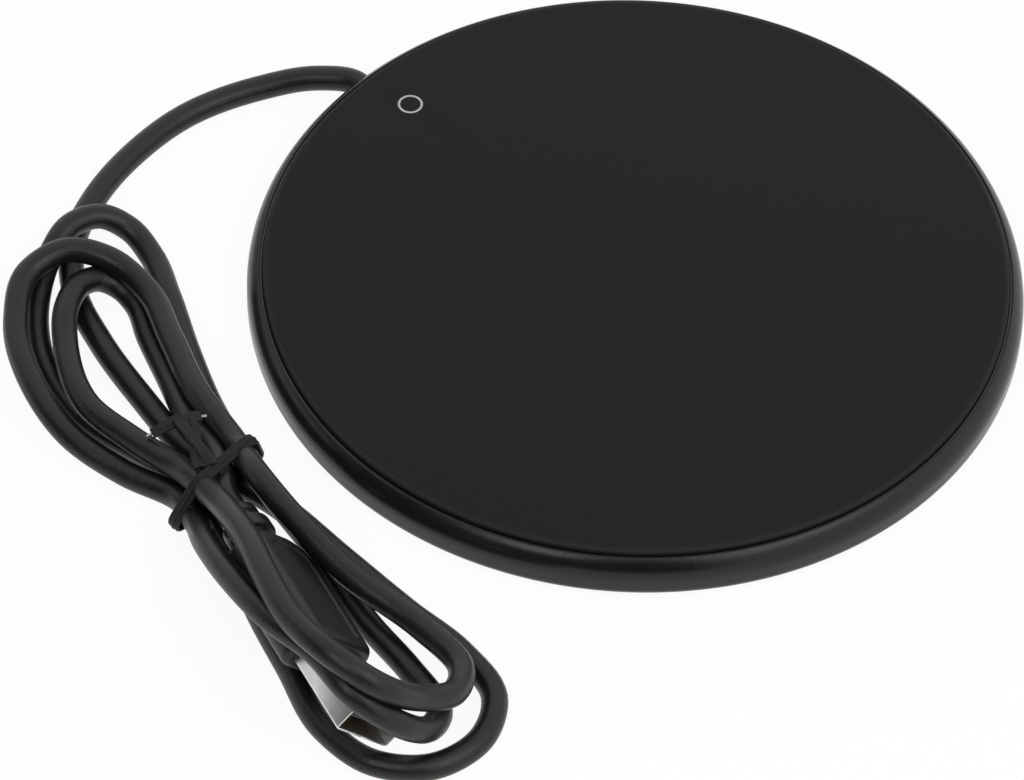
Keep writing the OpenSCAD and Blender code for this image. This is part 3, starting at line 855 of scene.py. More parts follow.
    @classmethod
    def smooth(cls, piece: bpy.types.Object, degrees: float = 35.0) -> bpy.types.Object:
        """Shade a piece smoothly where its facets meet at less than an angle."""
        cls.pick(piece)
        bpy.ops.object.shade_smooth_by_angle(angle=math.radians(degrees))
        return piece


def dress(piece: bpy.types.Object, material: bpy.types.Material) -> None:
    """Give a piece one material all over."""
    piece.data.materials.clear()
    piece.data.materials.append(material)


def mount(
    piece: bpy.types.Object, finish: Finish, body: Body, node: str
) -> bpy.types.Object:
    """Dress a piece, and let it ride on a body and stand for its node.

    Args:
        piece: Finished piece.
        finish: Its finish.
        body: Body that it moves with.
        node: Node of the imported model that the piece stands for.

    Returns:
        The piece.
    """
    dress(piece, finish.build())
    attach(piece, body.value)
    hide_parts(node)
    LOG.info("%s rides on %s and stands for %s", piece.name, body.value, node)
    return piece


# ---------------------------------------------------------------------------------------------
# Studio


@dataclass(frozen=True)
class Viewpoint:
    """The camera: its place in metres and its aim in degrees."""

    place: Point = (-0.47391, -0.40764, 0.68908)
    heading: float = 42.4
    pitch: float = 48.699
    roll: float = 1.802
    lens: float = 210.94
    sensor: float = 36.0

    def build(self) -> None:
        """Make the camera and let the scene use it."""
        roll = math.radians(self.roll)
        ahead = direction(self.heading, -self.pitch)
        level = direction(self.heading - 90.0, 0.0)
        above = level.cross(ahead)
        right = level * math.cos(roll) + above * math.sin(roll)
        upward = above * math.cos(roll) - level * math.sin(roll)
        Bench.clear()
        bpy.ops.object.camera_add(location=self.place)
        camera = bpy.context.active_object
        camera.name = "viewpoint"
        turn = Matrix((right, upward, -ahead)).transposed().to_4x4()
        camera.matrix_world = Matrix.Translation(self.place) @ turn
        camera.data.lens = self.lens
        camera.data.sensor_fit = "HORIZONTAL"
        camera.data.sensor_width = self.sensor
        camera.data.clip_start = 0.02
        camera.data.clip_end = 60.0
        bpy.context.scene.camera = camera


@dataclass(frozen=True)
class Softbox:
    """Soft lamp that faces the warmer, placed by its turn from the camera and its height."""

    name: str
    turn: float
    elevation: float
    distance: float
    size: Flat
    radiance: float

    def build(self, heading: float) -> None:
        """Make the lamp.

        Args:
            heading: Heading of the camera's view in degrees.
        """
        way = direction(heading + 180.0 + self.turn, self.elevation)
        Bench.clear()
        bpy.ops.object.light_add(type="AREA", location=way * self.distance)
        lamp = bpy.context.active_object
        lamp.name = self.name
        lamp.rotation_euler = way.to_track_quat("Z", "Y").to_euler()
        lamp.data.shape = "RECTANGLE"
        lamp.data.size, lamp.data.size_y = self.size
        lamp.data.energy = self.radiance * self.size[0] * self.size[1] * math.pi
        lamp.visible_camera = False


@dataclass
class Studio:
    """Camera, lamps, white floor and the dark cloth behind the camera.

    The cloth hangs on a sphere, to a turn from the camera. Its tops are the elevations that it
    reaches from each turn on, and its window is open between two turns below an elevation.
    """

    viewpoint: Viewpoint = Viewpoint()
    lamps: tuple[Softbox, ...] = (
        Softbox("softbox_left", -27.0, 49.0, 1.15, (0.37, 0.6), 3.8),
        Softbox("softbox_right", 46.0, 50.0, 1.1, (0.75, 0.7), 1.8),
    )
    floor_radius: float = 12.0
    floor_lit: float = 0.8
    floor_faint: float = 0.11
    floor_glow: float = 0.92
    cloth_radius: float = 2.2
    cloth_to: float = 25.0
    cloth_tops: tuple[Flat, ...] = ((-140.0, 12.0), (-112.0, 38.0), (-78.0, 90.0))
    cloth_window: tuple[float, float, float] = (-112.0, -84.0, 27.0)
    sky: float = 0.35

    def build(self) -> None:
        """Make everything that isn't part of the warmer."""
        self.viewpoint.build()
        for lamp in self.lamps:
            lamp.build(self.viewpoint.heading)
        self._floor()
        self._cloth()
        self._world()
        bpy.context.scene.view_settings.view_transform = "Standard"

    @staticmethod
    def _seen(graph: Graph) -> Signal:
        """Give 1 for rays from the camera, from a mirror or through glass, and 0 for others."""
        path = graph.node("LightPath")
        camera, glossy, through = (
            Signal(graph, path.outputs[f"Is {name} Ray"])
            for name in ("Camera", "Glossy", "Transmission")
        )
        return graph.math("MINIMUM", camera + glossy + through, 1.0)

    def _floor(self) -> None:
        """Make the floor, white where it is seen and soft with the warmer's shadow."""
        Bench.clear()
        bpy.ops.mesh.primitive_circle_add(vertices=64, radius=self.floor_radius, fill_type="NGON")
        floor = Bench.named("floor")
        paper = bpy.data.materials.new("floor_paper")
        graph = Graph(paper)
        lit, faint = (
            graph.signal("BsdfDiffuse", 0, None, {"Color": grey(level)})
            for level in (self.floor_lit, self.floor_faint)
        )
        shine = {"Color": grey(1.0), "Strength": self.floor_glow}
        glow = graph.signal("Emission", 0, None, shine)
        white = graph.signal("AddShader", 0, None, {0: faint, 1: glow})
        mixed = graph.signal(
            "MixShader", 0, None, {0: self._seen(graph), 1: lit, 2: white}
        )
        graph.node("OutputMaterial", None, {"Surface": mixed})
        dress(floor, paper)

    def _is_open(self, face: bmesh.types.BMFace) -> bool:
        """Tell whether the cloth leaves out a face of its sphere."""
        middle = face.calc_center_median()
        turn = math.degrees(math.atan2(middle.y, middle.x)) - self.viewpoint.heading - 180.0
        turn = (turn + 180.0) % 360.0 - 180.0
        rise = math.degrees(math.asin(middle.z / middle.length))
        top = ([0.0] + [high for start, high in self.cloth_tops if turn >= start])[-1]
        first, last, sill = self.cloth_window
        low = sill if first < turn < last else 0.0
        return not (turn <= self.cloth_to and low < rise < top)

    def _cloth(self) -> None:
        """Hang a dark cloth round the camera's side, seen only in the gloss of the pieces."""
        Bench.clear()
        bpy.ops.mesh.primitive_uv_sphere_add(segments=72, ring_count=36, radius=self.cloth_radius)
        cloth = Bench.named("dark_cloth")
        with Bench.chosen(cloth, "FACE", self._is_open):
            bpy.ops.mesh.delete(type="FACE")
        dress(cloth, ClothNap().build())
        for rays in ("camera", "diffuse", "transmission", "volume_scatter", "shadow"):
            setattr(cloth, f"visible_{rays}", False)

    def _world(self) -> None:
        """Light the scene evenly from the sky, and show it white where it is seen."""
        world = bpy.data.worlds.new("studio_air")
        bpy.context.scene.world = world
        graph = Graph(world)
        strength = self._seen(graph) * (1.0 - self.sky) + self.sky
        inputs = {"Color": grey(1.0), "Strength": strength}
        air = graph.signal("Background", 0, None, inputs)
        graph.node("OutputWorld", None, {"Surface": air})


# ---------------------------------------------------------------------------------------------
# Cord and tie


@dataclass
class Cord:
    """Cord with its route in millimetres, from the housing's anchor to the plug's neck."""

    diameter: float = 4.0
    length: float = 896.0
    exit_point: Point = (0.0, 60.0, 4.0)
    lead_run: tuple[Point, ...] = (
        (0, 57.5, 4), (0, 61, 4), (-3, 66, 3.5), (-11, 72, 2.5), (-22, 76, 2), (-34, 76, 2),
        (-45, 73.5, 2), (-54, 69, 2), (-61, 61.5, 2), (-65.5, 51, 2), (-69, 38, 2), (-71, 28, 2),
        (-71.5, 18.5, 3),
    )
    low_loop_1: tuple[Point, ...] = (
        (-69.5, 9, 2), (-70, -6, 2), (-70.5, -20, 2), (-70.5, -31, 2), (-73, -40, 2),
        (-80, -44, 2), (-88.5, -42.5, 2), (-94, -36, 2), (-94.6, -26.4, 2), (-90.2, -14.8, 2),
        (-85.6, -3.4, 2), (-80, 7.5, 2), (-75.5, 18.5, 3),
    )
    top_loop_1: tuple[Point, ...] = (
        (-76.5, 30, 2), (-78, 42, 2), (-74.5, 54, 2), (-67.5, 63, 2.5), (-60.5, 67.5, 4.5),
        (-54.5, 69, 6), (-49.5, 67.5, 5.5), (-47, 63.5, 3.5), (-47.5, 58.5, 2), (-51.5, 50.5, 2),
        (-57.5, 40, 2), (-63, 29, 2), (-67, 18.5, 3),
    )
    low_loop_2: tuple[Point, ...] = (
        (-70.5, 11, 7), (-72.5, 4, 7.5), (-73.5, -5, 5), (-76, -16.5, 2), (-78, -27.5, 2),
        (-80.5, -36, 2.5), (-86, -39.5, 6), (-93, -39, 13.5), (-96.2, -33.5, 18.2),
        (-95, -25.5, 18.9), (-95, -15.5, 18.7), (-92.5, -5.5, 16.5), (-88, 4.5, 12.2),
        (-82.5, 12.5, 6), (-79.5, 19.5, 3),
    )
    top_loop_2: tuple[Point, ...] = (
        (-81.5, 29, 2.5), (-83, 39.5, 4), (-80.5, 50.5, 6), (-74, 60.5, 6.5), (-66.5, 65.5, 7.5),
        (-60, 64, 8.5), (-56, 58.5, 7.5), (-55.5, 51, 6), (-60, 41, 6.5), (-65.5, 29.5, 7.5),
        (-68.5, 18.5, 7.5),
    )
    low_loop_3: tuple[Point, ...] = (
        (-72.5, 10, 11), (-74.5, 0, 10.5), (-75, -12, 8), (-73.5, -25.5, 6), (-75, -35, 6.5),
        (-80.5, -39, 9), (-87.5, -38.5, 13.5), (-94, -36, 20.5), (-96, -29.5, 23),
        (-95, -20, 22.5), (-91.5, -11.5, 21.5), (-87.5, -4, 19.5), (-83, 5.5, 15),
        (-79.5, 13, 10), (-77.5, 19.5, 7),
    )
    top_loop_3: tuple[Point, ...] = (
        (-78, 30.5, 6), (-78, 40.5, 6), (-72.5, 51, 6), (-66.5, 57, 6.5), (-62, 59, 6),
        (-58.5, 58.5, 5), (-56.5, 56, 3.5), (-56.5, 52.5, 2.5), (-59.5, 46.5, 2),
        (-63.5, 38, 2.5), (-69, 27.5, 5), (-72.5, 18.5, 7),
    )
    plug_run: tuple[Point, ...] = ((-75.2, 14, 8.4), (-77.9, 10.5, 9), (-78.9, 7.6, 9))
    samples: int = 8

    def route(self) -> list[Vector]:
        """Return the route's points in metres, from the housing to the plug."""
        runs = (
            self.lead_run, self.low_loop_1, self.top_loop_1, self.low_loop_2, self.top_loop_2,
            self.low_loop_3, self.top_loop_3, self.plug_run,
        )
        return [Vector(mm(*point)) for run in runs for point in run]

    @staticmethod
    def _leans(points: Sequence[Vector]) -> list[Vector]:
        """Give the direction of the line at each point, weighted by the nearer neighbour."""
        leans = []
        for i, here in enumerate(points):
            before = points[i - 1] if i else here
            after = points[i + 1] if i + 1 < len(points) else here
            a, b = (here - before).length, (after - here).length
            if a == 0 or b == 0:
                leans.append((after - before).normalized())
            else:
                leans.append(((here - before) / a * b + (after - here) / b * a) / (a + b))
        return leans

    def _middle(self, knots: Sequence[bpy.types.BezierSplinePoint]) -> list[Vector]:
        """Give points along the cord's middle line in metres."""
        middle: list[Vector] = []
        for start, end in zip(knots, knots[1:]):
            for step in range(self.samples):
                t = step / self.samples
                middle.append(
                    start.co * (1 - t) ** 3
                    + start.handle_right * 3 * t * (1 - t) ** 2
                    + end.handle_left * 3 * t * t * (1 - t)
                    + end.co * t**3
                )
        return [*middle, knots[-1].co.copy()]

    def build(self) -> tuple[bpy.types.Object, list[Vector]]:
        """Make the cord along its route.

        Returns:
            The cord, and the points of its middle line in metres.
        """
        points = self.route()
        curve = bpy.data.curves.new("cord", "CURVE")
        curve.dimensions = "3D"
        curve.bevel_depth = self.diameter / 2 * MM
        curve.bevel_resolution = 6
        curve.resolution_u = self.samples
        curve.use_fill_caps = True
        knots = curve.splines.new("BEZIER").bezier_points
        knots.add(len(points) - 1)
        for i, (knot, point, lean) in enumerate(zip(knots, points, self._leans(points))):
            knot.handle_left_type = knot.handle_right_type = "FREE"
            back = (point - points[i - 1]).length / 3 if i else 0.0
            ahead = (points[i + 1] - point).length / 3 if i + 1 < len(points) else 0.0
            knot.co = point
            knot.handle_left = point - lean * (back or ahead)
            knot.handle_right = point + lean * (ahead or back)
        middle = self._middle(list(knots))
        cord = Bench.meshed("flex_cord", curve)
        Bench.smooth(cord, 60.0)
        jacket = CordJacket(length=self.length)
        return mount(cord, jacket, Body.HOUSING, "cord"), middle


@dataclass
class TwistTie:
    """Twist tie round the hank: a flat sleeve over a wire, its ends twisted into a stem."""

    middle: Flat = (-75.0, 17.0)
    turn: float = 3.0
    lean: float = 12.0
    gap: float = 0.4
    thickness: float = 0.5
    width: float = 2.0
    ridge: float = 0.8
    wire: float = 0.5
    wire_bare: float = 0.9
    wire_hidden: float = 0.5
    strands: tuple[Flat, ...] = (
        (-6.5, 4.2), (-1.0, 3.2), (3.6, 3.2), (7.0, 4.2), (5.0, 8.9), (-3.9, 9.0),
    )
    strand_radius: float = 2.0
    root: Point = (-77.3, 15.4, 11.0)
    knot: Point = (-71.9, 25.8, 9.4)
    stem_rise: float = 0.65
    stem_half: float = 0.8
    stem_turns: float = 1.0
    stem_lift: float = 0.3
    stem_tilt: float = 25.0
    stem_steps: int = 12
    tips: tuple[Point, ...] = ((-76.2, 27.4, 8.6), (-70.4, 24.7, 9.4))
    tip_past: float = 0.7
    tail_crest: float = 0.35

    def _outline(self) -> list[Point]:
        """Give the loop round the strands in millimetres, drawn flat, with its height along Y."""
        reach = self.strand_radius + self.gap + self.thickness / 2
        turns = [math.tau * k / Facets.WIRE for k in range(Facets.WIRE)]
        around = [
            (x + reach * math.cos(a), z + reach * math.sin(a))
            for x, z in self.strands
            for a in turns
        ]
        return [(x, z, 0.0) for x, z in self._hull(around)]

    @staticmethod
    def _hull(points: Sequence[Flat]) -> list[Flat]:
        """Give the convex outline of points in a plane, anticlockwise."""

        def half(row: Sequence[Flat]) -> list[Flat]:
            """Give one side of the outline."""
            kept: list[Flat] = []
            for x, z in row:
                while len(kept) > 1:
                    (x0, z0), (x1, z1) = kept[-2:]
                    if (x1 - x0) * (z - z0) - (z1 - z0) * (x - x0) > 0:
                        break
                    kept.pop()
                kept.append((x, z))
            return kept[:-1]

        ordered = sorted(points)
        return half(ordered) + half(ordered[::-1])

    @staticmethod
    def _line(
        name: str,
        path: Sequence[Point],
        tilts: Sequence[float],
        closed: bool,
        spread: float,
        depth: float,
    ) -> bpy.types.Object:
        """Make a mesh along a path.

        Args:
            name: Name of the piece.
            path: Points in millimetres.
            tilts: Turn of the section about the path at each point, in degrees.
            closed: Whether the last point joins the first.
            spread: Half the flat part of the section in millimetres.
            depth: Radius of the section's round edges in millimetres.

        Returns:
            The piece.
        """
        curve = bpy.data.curves.new(name, "CURVE")
        curve.dimensions = "3D"
        curve.twist_mode = "Z_UP"
        curve.extrude, curve.bevel_depth = mm(spread, depth)
        curve.bevel_resolution = 3
        curve.use_fill_caps = True
        curve.resolution_u = 2 if closed else 8
        spline = curve.splines.new("BEZIER")
        spline.bezier_points.add(len(path) - 1)
        for knot, point, tilt in zip(spline.bezier_points, path, tilts):
            knot.co = mm(*point)
            knot.handle_left_type = knot.handle_right_type = "VECTOR" if closed else "AUTO"
            knot.tilt = math.radians(tilt)
        spline.use_cyclic_u = closed
        return Bench.meshed(name, curve)

    def _sleeve(
        self, name: str, path: Sequence[Point], tilts: Sequence[float], closed: bool = False
    ) -> bpy.types.Object:
        """Make a flat sleeve along a path, with the ridge that its wire makes."""
        half = (self.width - self.thickness) / 2
        flat = self._line(name, path, tilts, closed, half, self.thickness / 2)
        ridge = self._line("ridge", path, tilts, closed, 0.0, self.ridge / 2)
        return Bench.joined([flat, ridge], name)

    def _stem(self) -> list[bpy.types.Object]:
        """Make the sleeve's two ends, side by side and crossed on their way to the knot."""
        raised = Vector((0, 0, self.stem_rise))
        start, end = (Vector(point) + raised for point in (self.root, self.knot))
        aside = (end - start).cross(Vector((0, 0, 1))).normalized() * self.stem_half
        shares = [k / self.stem_steps for k in range(self.stem_steps + 1)]
        layers = []
        for side in (-1, 1):
            path = []
            for share in shares:
                turn = math.pi * self.stem_turns * share
                lift = Vector((0, 0, self.stem_lift * math.sin(turn) * side))
                path.append(tuple(start.lerp(end, share) + aside * math.cos(turn) * side + lift))
            tilts = [90 + side * self.stem_tilt * math.sin(math.pi * share) for share in shares]
            layers.append(self._sleeve("stem", path, tilts))
        return layers

    def _snipped(self, tip: Point) -> tuple[Vector, Vector]:
        """Give the sleeve's cut end in millimetres, just past its tip, and its direction."""
        way = (Vector(tip) - Vector(self.knot)).normalized()
        return Vector(tip) + way * self.tip_past, way

    def _tail(self, tip: Point) -> bpy.types.Object:
        """Make one free end, from the knot to where it is snipped square."""
        knot, end = Vector(self.knot), self._snipped(tip)[0]
        rise = Vector((0, 0, self.thickness / 2))
        crest = knot.lerp(end, 0.45) + Vector((0, 0, self.tail_crest))
        path = [tuple(point + rise) for point in (knot + rise, crest, end)]
        return self._sleeve("tail", path, [60, 80, 96])

    def build(self) -> list[bpy.types.Object]:
        """Make the tie.

        Returns:
            The band and the bare ends of its wire.
        """
        outline = self._outline()
        loop = self._sleeve("loop", outline, [0] * len(outline), True)
        stand = turned_by(self.turn, "Z") @ turned_by(90 + self.lean, "X")
        Bench.settle(loop, moved(*self.middle, 0.0) @ stand)
        tails = [self._tail(tip) for tip in self.tips]
        band = Bench.joined([loop, *self._stem(), *tails], "twist_tie")
        Bench.smooth(band, 40.0)
        skin = MouldedPlastic("tie_sleeve", (0.009, 0.009, 0.0092), 0.5, 0.5, 0.01, 0.25)
        mount(band, skin, Body.HOUSING, "tie_band")
        return [band, self._bare_wire()]

    def _bare_wire(self) -> bpy.types.Object:
        """Make the bare ends of the wire, one past each tip."""
        r = self.wire / 2
        outline = [
            Corner(0, -self.wire_hidden), Corner(r, -self.wire_hidden),
            Corner(r, self.wire_bare, 0.1, 3), Corner(0, self.wire_bare),
        ]
        ends = []
        for tip in self.tips:
            start, way = self._snipped(tip)
            start.z += self.thickness / 2
            place = moved(*start) @ way.to_track_quat("Z", "Y").to_matrix().to_4x4()
            ends.append(Bench.settle(Bench.turned("wire_end", outline, Facets.WIRE), place))
        wire = Bench.joined(ends, "tie_wire_end")
        Bench.smooth(wire)
        metal = DrawnMetal("tie_wire", (0.4, 0.4, 0.41), 0.35)
        return mount(wire, metal, Body.HOUSING, "tie_wire")


# ---------------------------------------------------------------------------------------------
# Plug


@dataclass
class Plug:
    """USB-A plug in its own frame: X across, Y back from the open end, Z out of the wide face.

    The neck's groove, rib and nose are depths below half its height. Its marks say how far back
    the rib starts and ends and the nose starts. A panel's insets are pairs of inset and depth,
    and a contact is its place across and where it starts.
    """

    tip: Point = (-93.5, -35.0, 9.0)
    yaw: float = -18.9
    roll: float = 48.0
    shell_w: float = 12.0
    shell_h: float = 4.5
    shell_l: float = 14.0
    shell_r: float = 0.5
    shell_edge: float = 0.07
    wall: float = 0.3
    window: float = 2.2
    window_x: float = 2.5
    window_y: float = 6.3
    seam: float = 0.12
    root: float = 3.0
    root_ahead: float = 2.0
    root_r: float = 0.15
    tongue_t: float = 1.8
    tongue_back: float = 0.6
    tongue_r: float = 0.25
    contact_w: float = 1.0
    contact_t: float = 0.2
    contact_r: float = 0.06
    contacts: tuple[Flat, ...] = ((-3.5, 1.2), (-1.0, 2.2), (1.0, 2.2), (3.5, 1.2))
    grip_w: float = 16.0
    grip_h: float = 8.0
    grip_l: float = 24.0
    grip_r: float = 2.8
    grip_front_r: float = 1.2
    grip_end_r: float = 6.5
    panel_insets: tuple[Flat, ...] = ((0.7, 0.0), (0.3, -0.25), (0.25, 0.0))
    neck_w: float = 10.0
    neck_h: float = 7.6
    neck_taper: float = -0.2
    neck_l: float = 7.0
    neck_hidden: float = 2.5
    neck_groove: float = 1.4
    neck_rib: float = 0.3
    neck_nose: Flat = (0.9, 1.0)
    neck_marks: tuple[float, float, float] = (1.2, 3.7, 5.0)
    neck_r: float = 0.25
    neck_rib_r: float = 0.5
    neck_nose_r: float = 0.4
    neck_close: float = 0.6
    neck_play: float = 0.2
    cord_d: float = 4.0
    pieces: list[bpy.types.Object] = field(default_factory=list)

    def build(self) -> list[bpy.types.Object]:
        """Make the plug's pieces and return them."""
        self._grip()
        self._neck()
        self._shell()
        self._tongue()
        self._contacts()
        return self.pieces

    def _keep(self, piece: bpy.types.Object, finish: Finish, node: str) -> None:
        """Settle, smooth, dress and mount a piece of the plug, in place of a node."""
        place = moved(*self.tip) @ turned_by(self.yaw, "Z") @ turned_by(self.roll, "Y")
        Bench.settle(piece, place)
        Bench.smooth(piece)
        self.pieces.append(mount(piece, finish, Body.HOUSING, node))

    def _grip(self) -> None:
        """Make the over-mould: a pillow-edged block with a thumb panel on each wide face."""
        middle = (0, self.shell_l + self.grip_l / 2, 0)
        grip = Bench.block("grip_moulding", (self.grip_w, self.grip_l, self.grip_h), middle)
        front = self.shell_l * MM

        def at_back(edge: bmesh.types.BMEdge) -> bool:
            """Tell whether an edge is one of the two upright ones at the back."""
            return Bench.runs_along(edge, 2) and edge.verts[0].co.y > front + 1e-4

        with Bench.chosen(grip, "EDGE", at_back):
            bpy.ops.mesh.bevel(
                offset=self.grip_end_r * MM, segments=12, affect="EDGES", clamp_overlap=False
            )
        for at_front, rounding in ((False, self.grip_r), (True, self.grip_front_r)):

            def is_sharp(edge: bmesh.types.BMEdge) -> bool:
                """Tell whether an edge is a sharp one, of the front or of the rest."""
                nose = all(abs(vert.co.y - front) < 1e-6 for vert in edge.verts)
                sharp = len(edge.link_faces) == 2 and edge.calc_face_angle() > 1.0
                return nose is at_front and sharp

            with Bench.chosen(grip, "EDGE", is_sharp):
                bpy.ops.mesh.bevel(
                    offset=rounding * MM, segments=8, affect="EDGES", clamp_overlap=True
                )
        Bench.heal(grip)
        with Bench.edit(grip, "FACE") as mesh:
            flats = sorted(mesh.faces, key=lambda face: -face.calc_area() * abs(face.normal.z))[:2]
            for face in flats:
                face.select_set(True)
            bmesh.update_edit_mesh(grip.data)
            for inset, depth in self.panel_insets:
                bpy.ops.mesh.inset(thickness=inset * MM, depth=depth * MM)
        size = (self.shell_w, self.root + 1, self.shell_h)
        centre = (0, self.shell_l + (self.root - 1) / 2, 0)
        Bench.cut(grip, Bench.block("pocket", size, centre))
        skin = MouldedPlastic("grip_skin", (0.0095, 0.0095, 0.01), 0.34, 0.4, 0.012)
        self._keep(grip, skin, "plug_grip")

    def _neck(self) -> None:
        """Make the oval neck: groove, rib, groove, and a nose that closes on the cord."""
        r, length, hidden = self.neck_h / 2, self.neck_l, -self.neck_hidden
        low, rib = r - self.neck_groove, r - self.neck_rib
        thick, thin = (r - depth for depth in self.neck_nose)
        start, end, nose = self.neck_marks
        soft, rib_r, nose_r = self.neck_r, self.neck_rib_r, self.neck_nose_r
        corners = [
            Corner(0, hidden), Corner(low, hidden), Corner(low, start, soft, 3),
            Corner(rib, start, rib_r), Corner(rib, end, rib_r), Corner(low, end, soft, 3),
            Corner(low, nose, soft, 3), Corner(thick, nose, nose_r),
            Corner(thin, length - self.neck_close, nose_r),
            Corner(self.cord_d / 2 + self.neck_play, length, soft, 4), Corner(0, length),
        ]
        neck = Bench.turned("neck_boot", corners, Facets.ROUND)
        Bench.settle(neck, Matrix.Diagonal((self.neck_w / self.neck_h, 1, 1, 1)))
        Bench.modified(
            neck,
            "SIMPLE_DEFORM",
            deform_method="TAPER",
            deform_axis="Z",
            lock_y=True,
            factor=self.neck_taper,
        )
        Bench.settle(neck, moved(0, self.shell_l + self.grip_l, 0) @ turned_by(-90, "X"))
        skin = MouldedPlastic("boot_skin", (0.0095, 0.0095, 0.01), 0.32, 0.4, 0.01)
        self._keep(neck, skin, "plug_neck")

    def _shell(self) -> None:
        """Make the metal shell: a folded tube with four catch windows and a seam."""
        length = self.shell_l + self.root
        middle = length / 2
        shell = Bench.block("plug_can", (self.shell_w, length, self.shell_h), (0, middle, 0))
        with Bench.chosen(shell, "EDGE", lambda edge: Bench.runs_along(edge, 1)):
            bpy.ops.mesh.bevel(offset=self.shell_r * MM, segments=5, affect="EDGES")
        with Bench.chosen(shell, "FACE", lambda face: abs(face.normal.y) > 0.9):
            bpy.ops.mesh.delete(type="ONLY_FACE")
        Bench.modified(
            shell, "SOLIDIFY", thickness=self.wall * MM, offset=-1.0, use_even_offset=True
        )
        hole = (self.window, self.window, 2 * self.shell_h)
        for x in (-self.window_x, self.window_x):
            Bench.cut(shell, Bench.block("window", hole, (x, self.window_y, 0)))
        slit = (self.seam, length + 1, self.wall)
        Bench.cut(shell, Bench.block("seam", slit, (0, middle, -self.shell_h / 2)))
        Bench.modified(
            shell,
            "BEVEL",
            width=self.shell_edge * MM,
            segments=2,
            limit_method="ANGLE",
            angle_limit=math.radians(60),
        )
        lines = (900.0, 60.0, 900.0)
        metal = DrawnMetal("can_nickel", (0.78, 0.77, 0.765), 0.24, lines, -self.yaw)
        self._keep(shell, metal, "plug_shell")

    def _tongue(self) -> None:
        """Make the tongue that carries the contacts, with a chamfered lip, and its root block."""
        top = self.shell_h / 2 - self.wall
        width = self.shell_w - 2 * self.wall
        length = self.shell_l + self.root - self.tongue_back
        middle = (0, self.tongue_back + length / 2, top - self.tongue_t / 2)
        blade = Bench.block("blade", (width, length, self.tongue_t), middle, self.tongue_r, 3)
        depth = self.root + self.root_ahead
        middle = (0, self.shell_l - self.root_ahead + depth / 2, 0)
        root = Bench.block("root", (width, depth, 2 * top), middle, self.root_r)
        tongue = Bench.joined([blade, root], "tongue_blade")
        resin = SmoothPolymer("tongue_resin", (0.012, 0.012, 0.0125), 0.4)
        self._keep(tongue, resin, "plug_tongue")

    def _contacts(self) -> None:
        """Make the four contacts, the outer two longer than the inner two."""
        level = self.shell_h / 2 - self.wall - self.tongue_t - self.contact_t / 2
        strips = []
        for x, start in self.contacts:
            length = self.shell_l - self.root_ahead - start
            size = (self.contact_w, length, self.contact_t)
            middle = (x, start + length / 2, level)
            strips.append(Bench.block("strip", size, middle, self.contact_r))
        contacts = Bench.joined(strips, "contact_strips")
        gold = DrawnMetal("contact_gold", (0.6, 0.42, 0.17), 0.3)
        self._keep(contacts, gold, "plug_contacts")


# ---------------------------------------------------------------------------------------------
# Housing


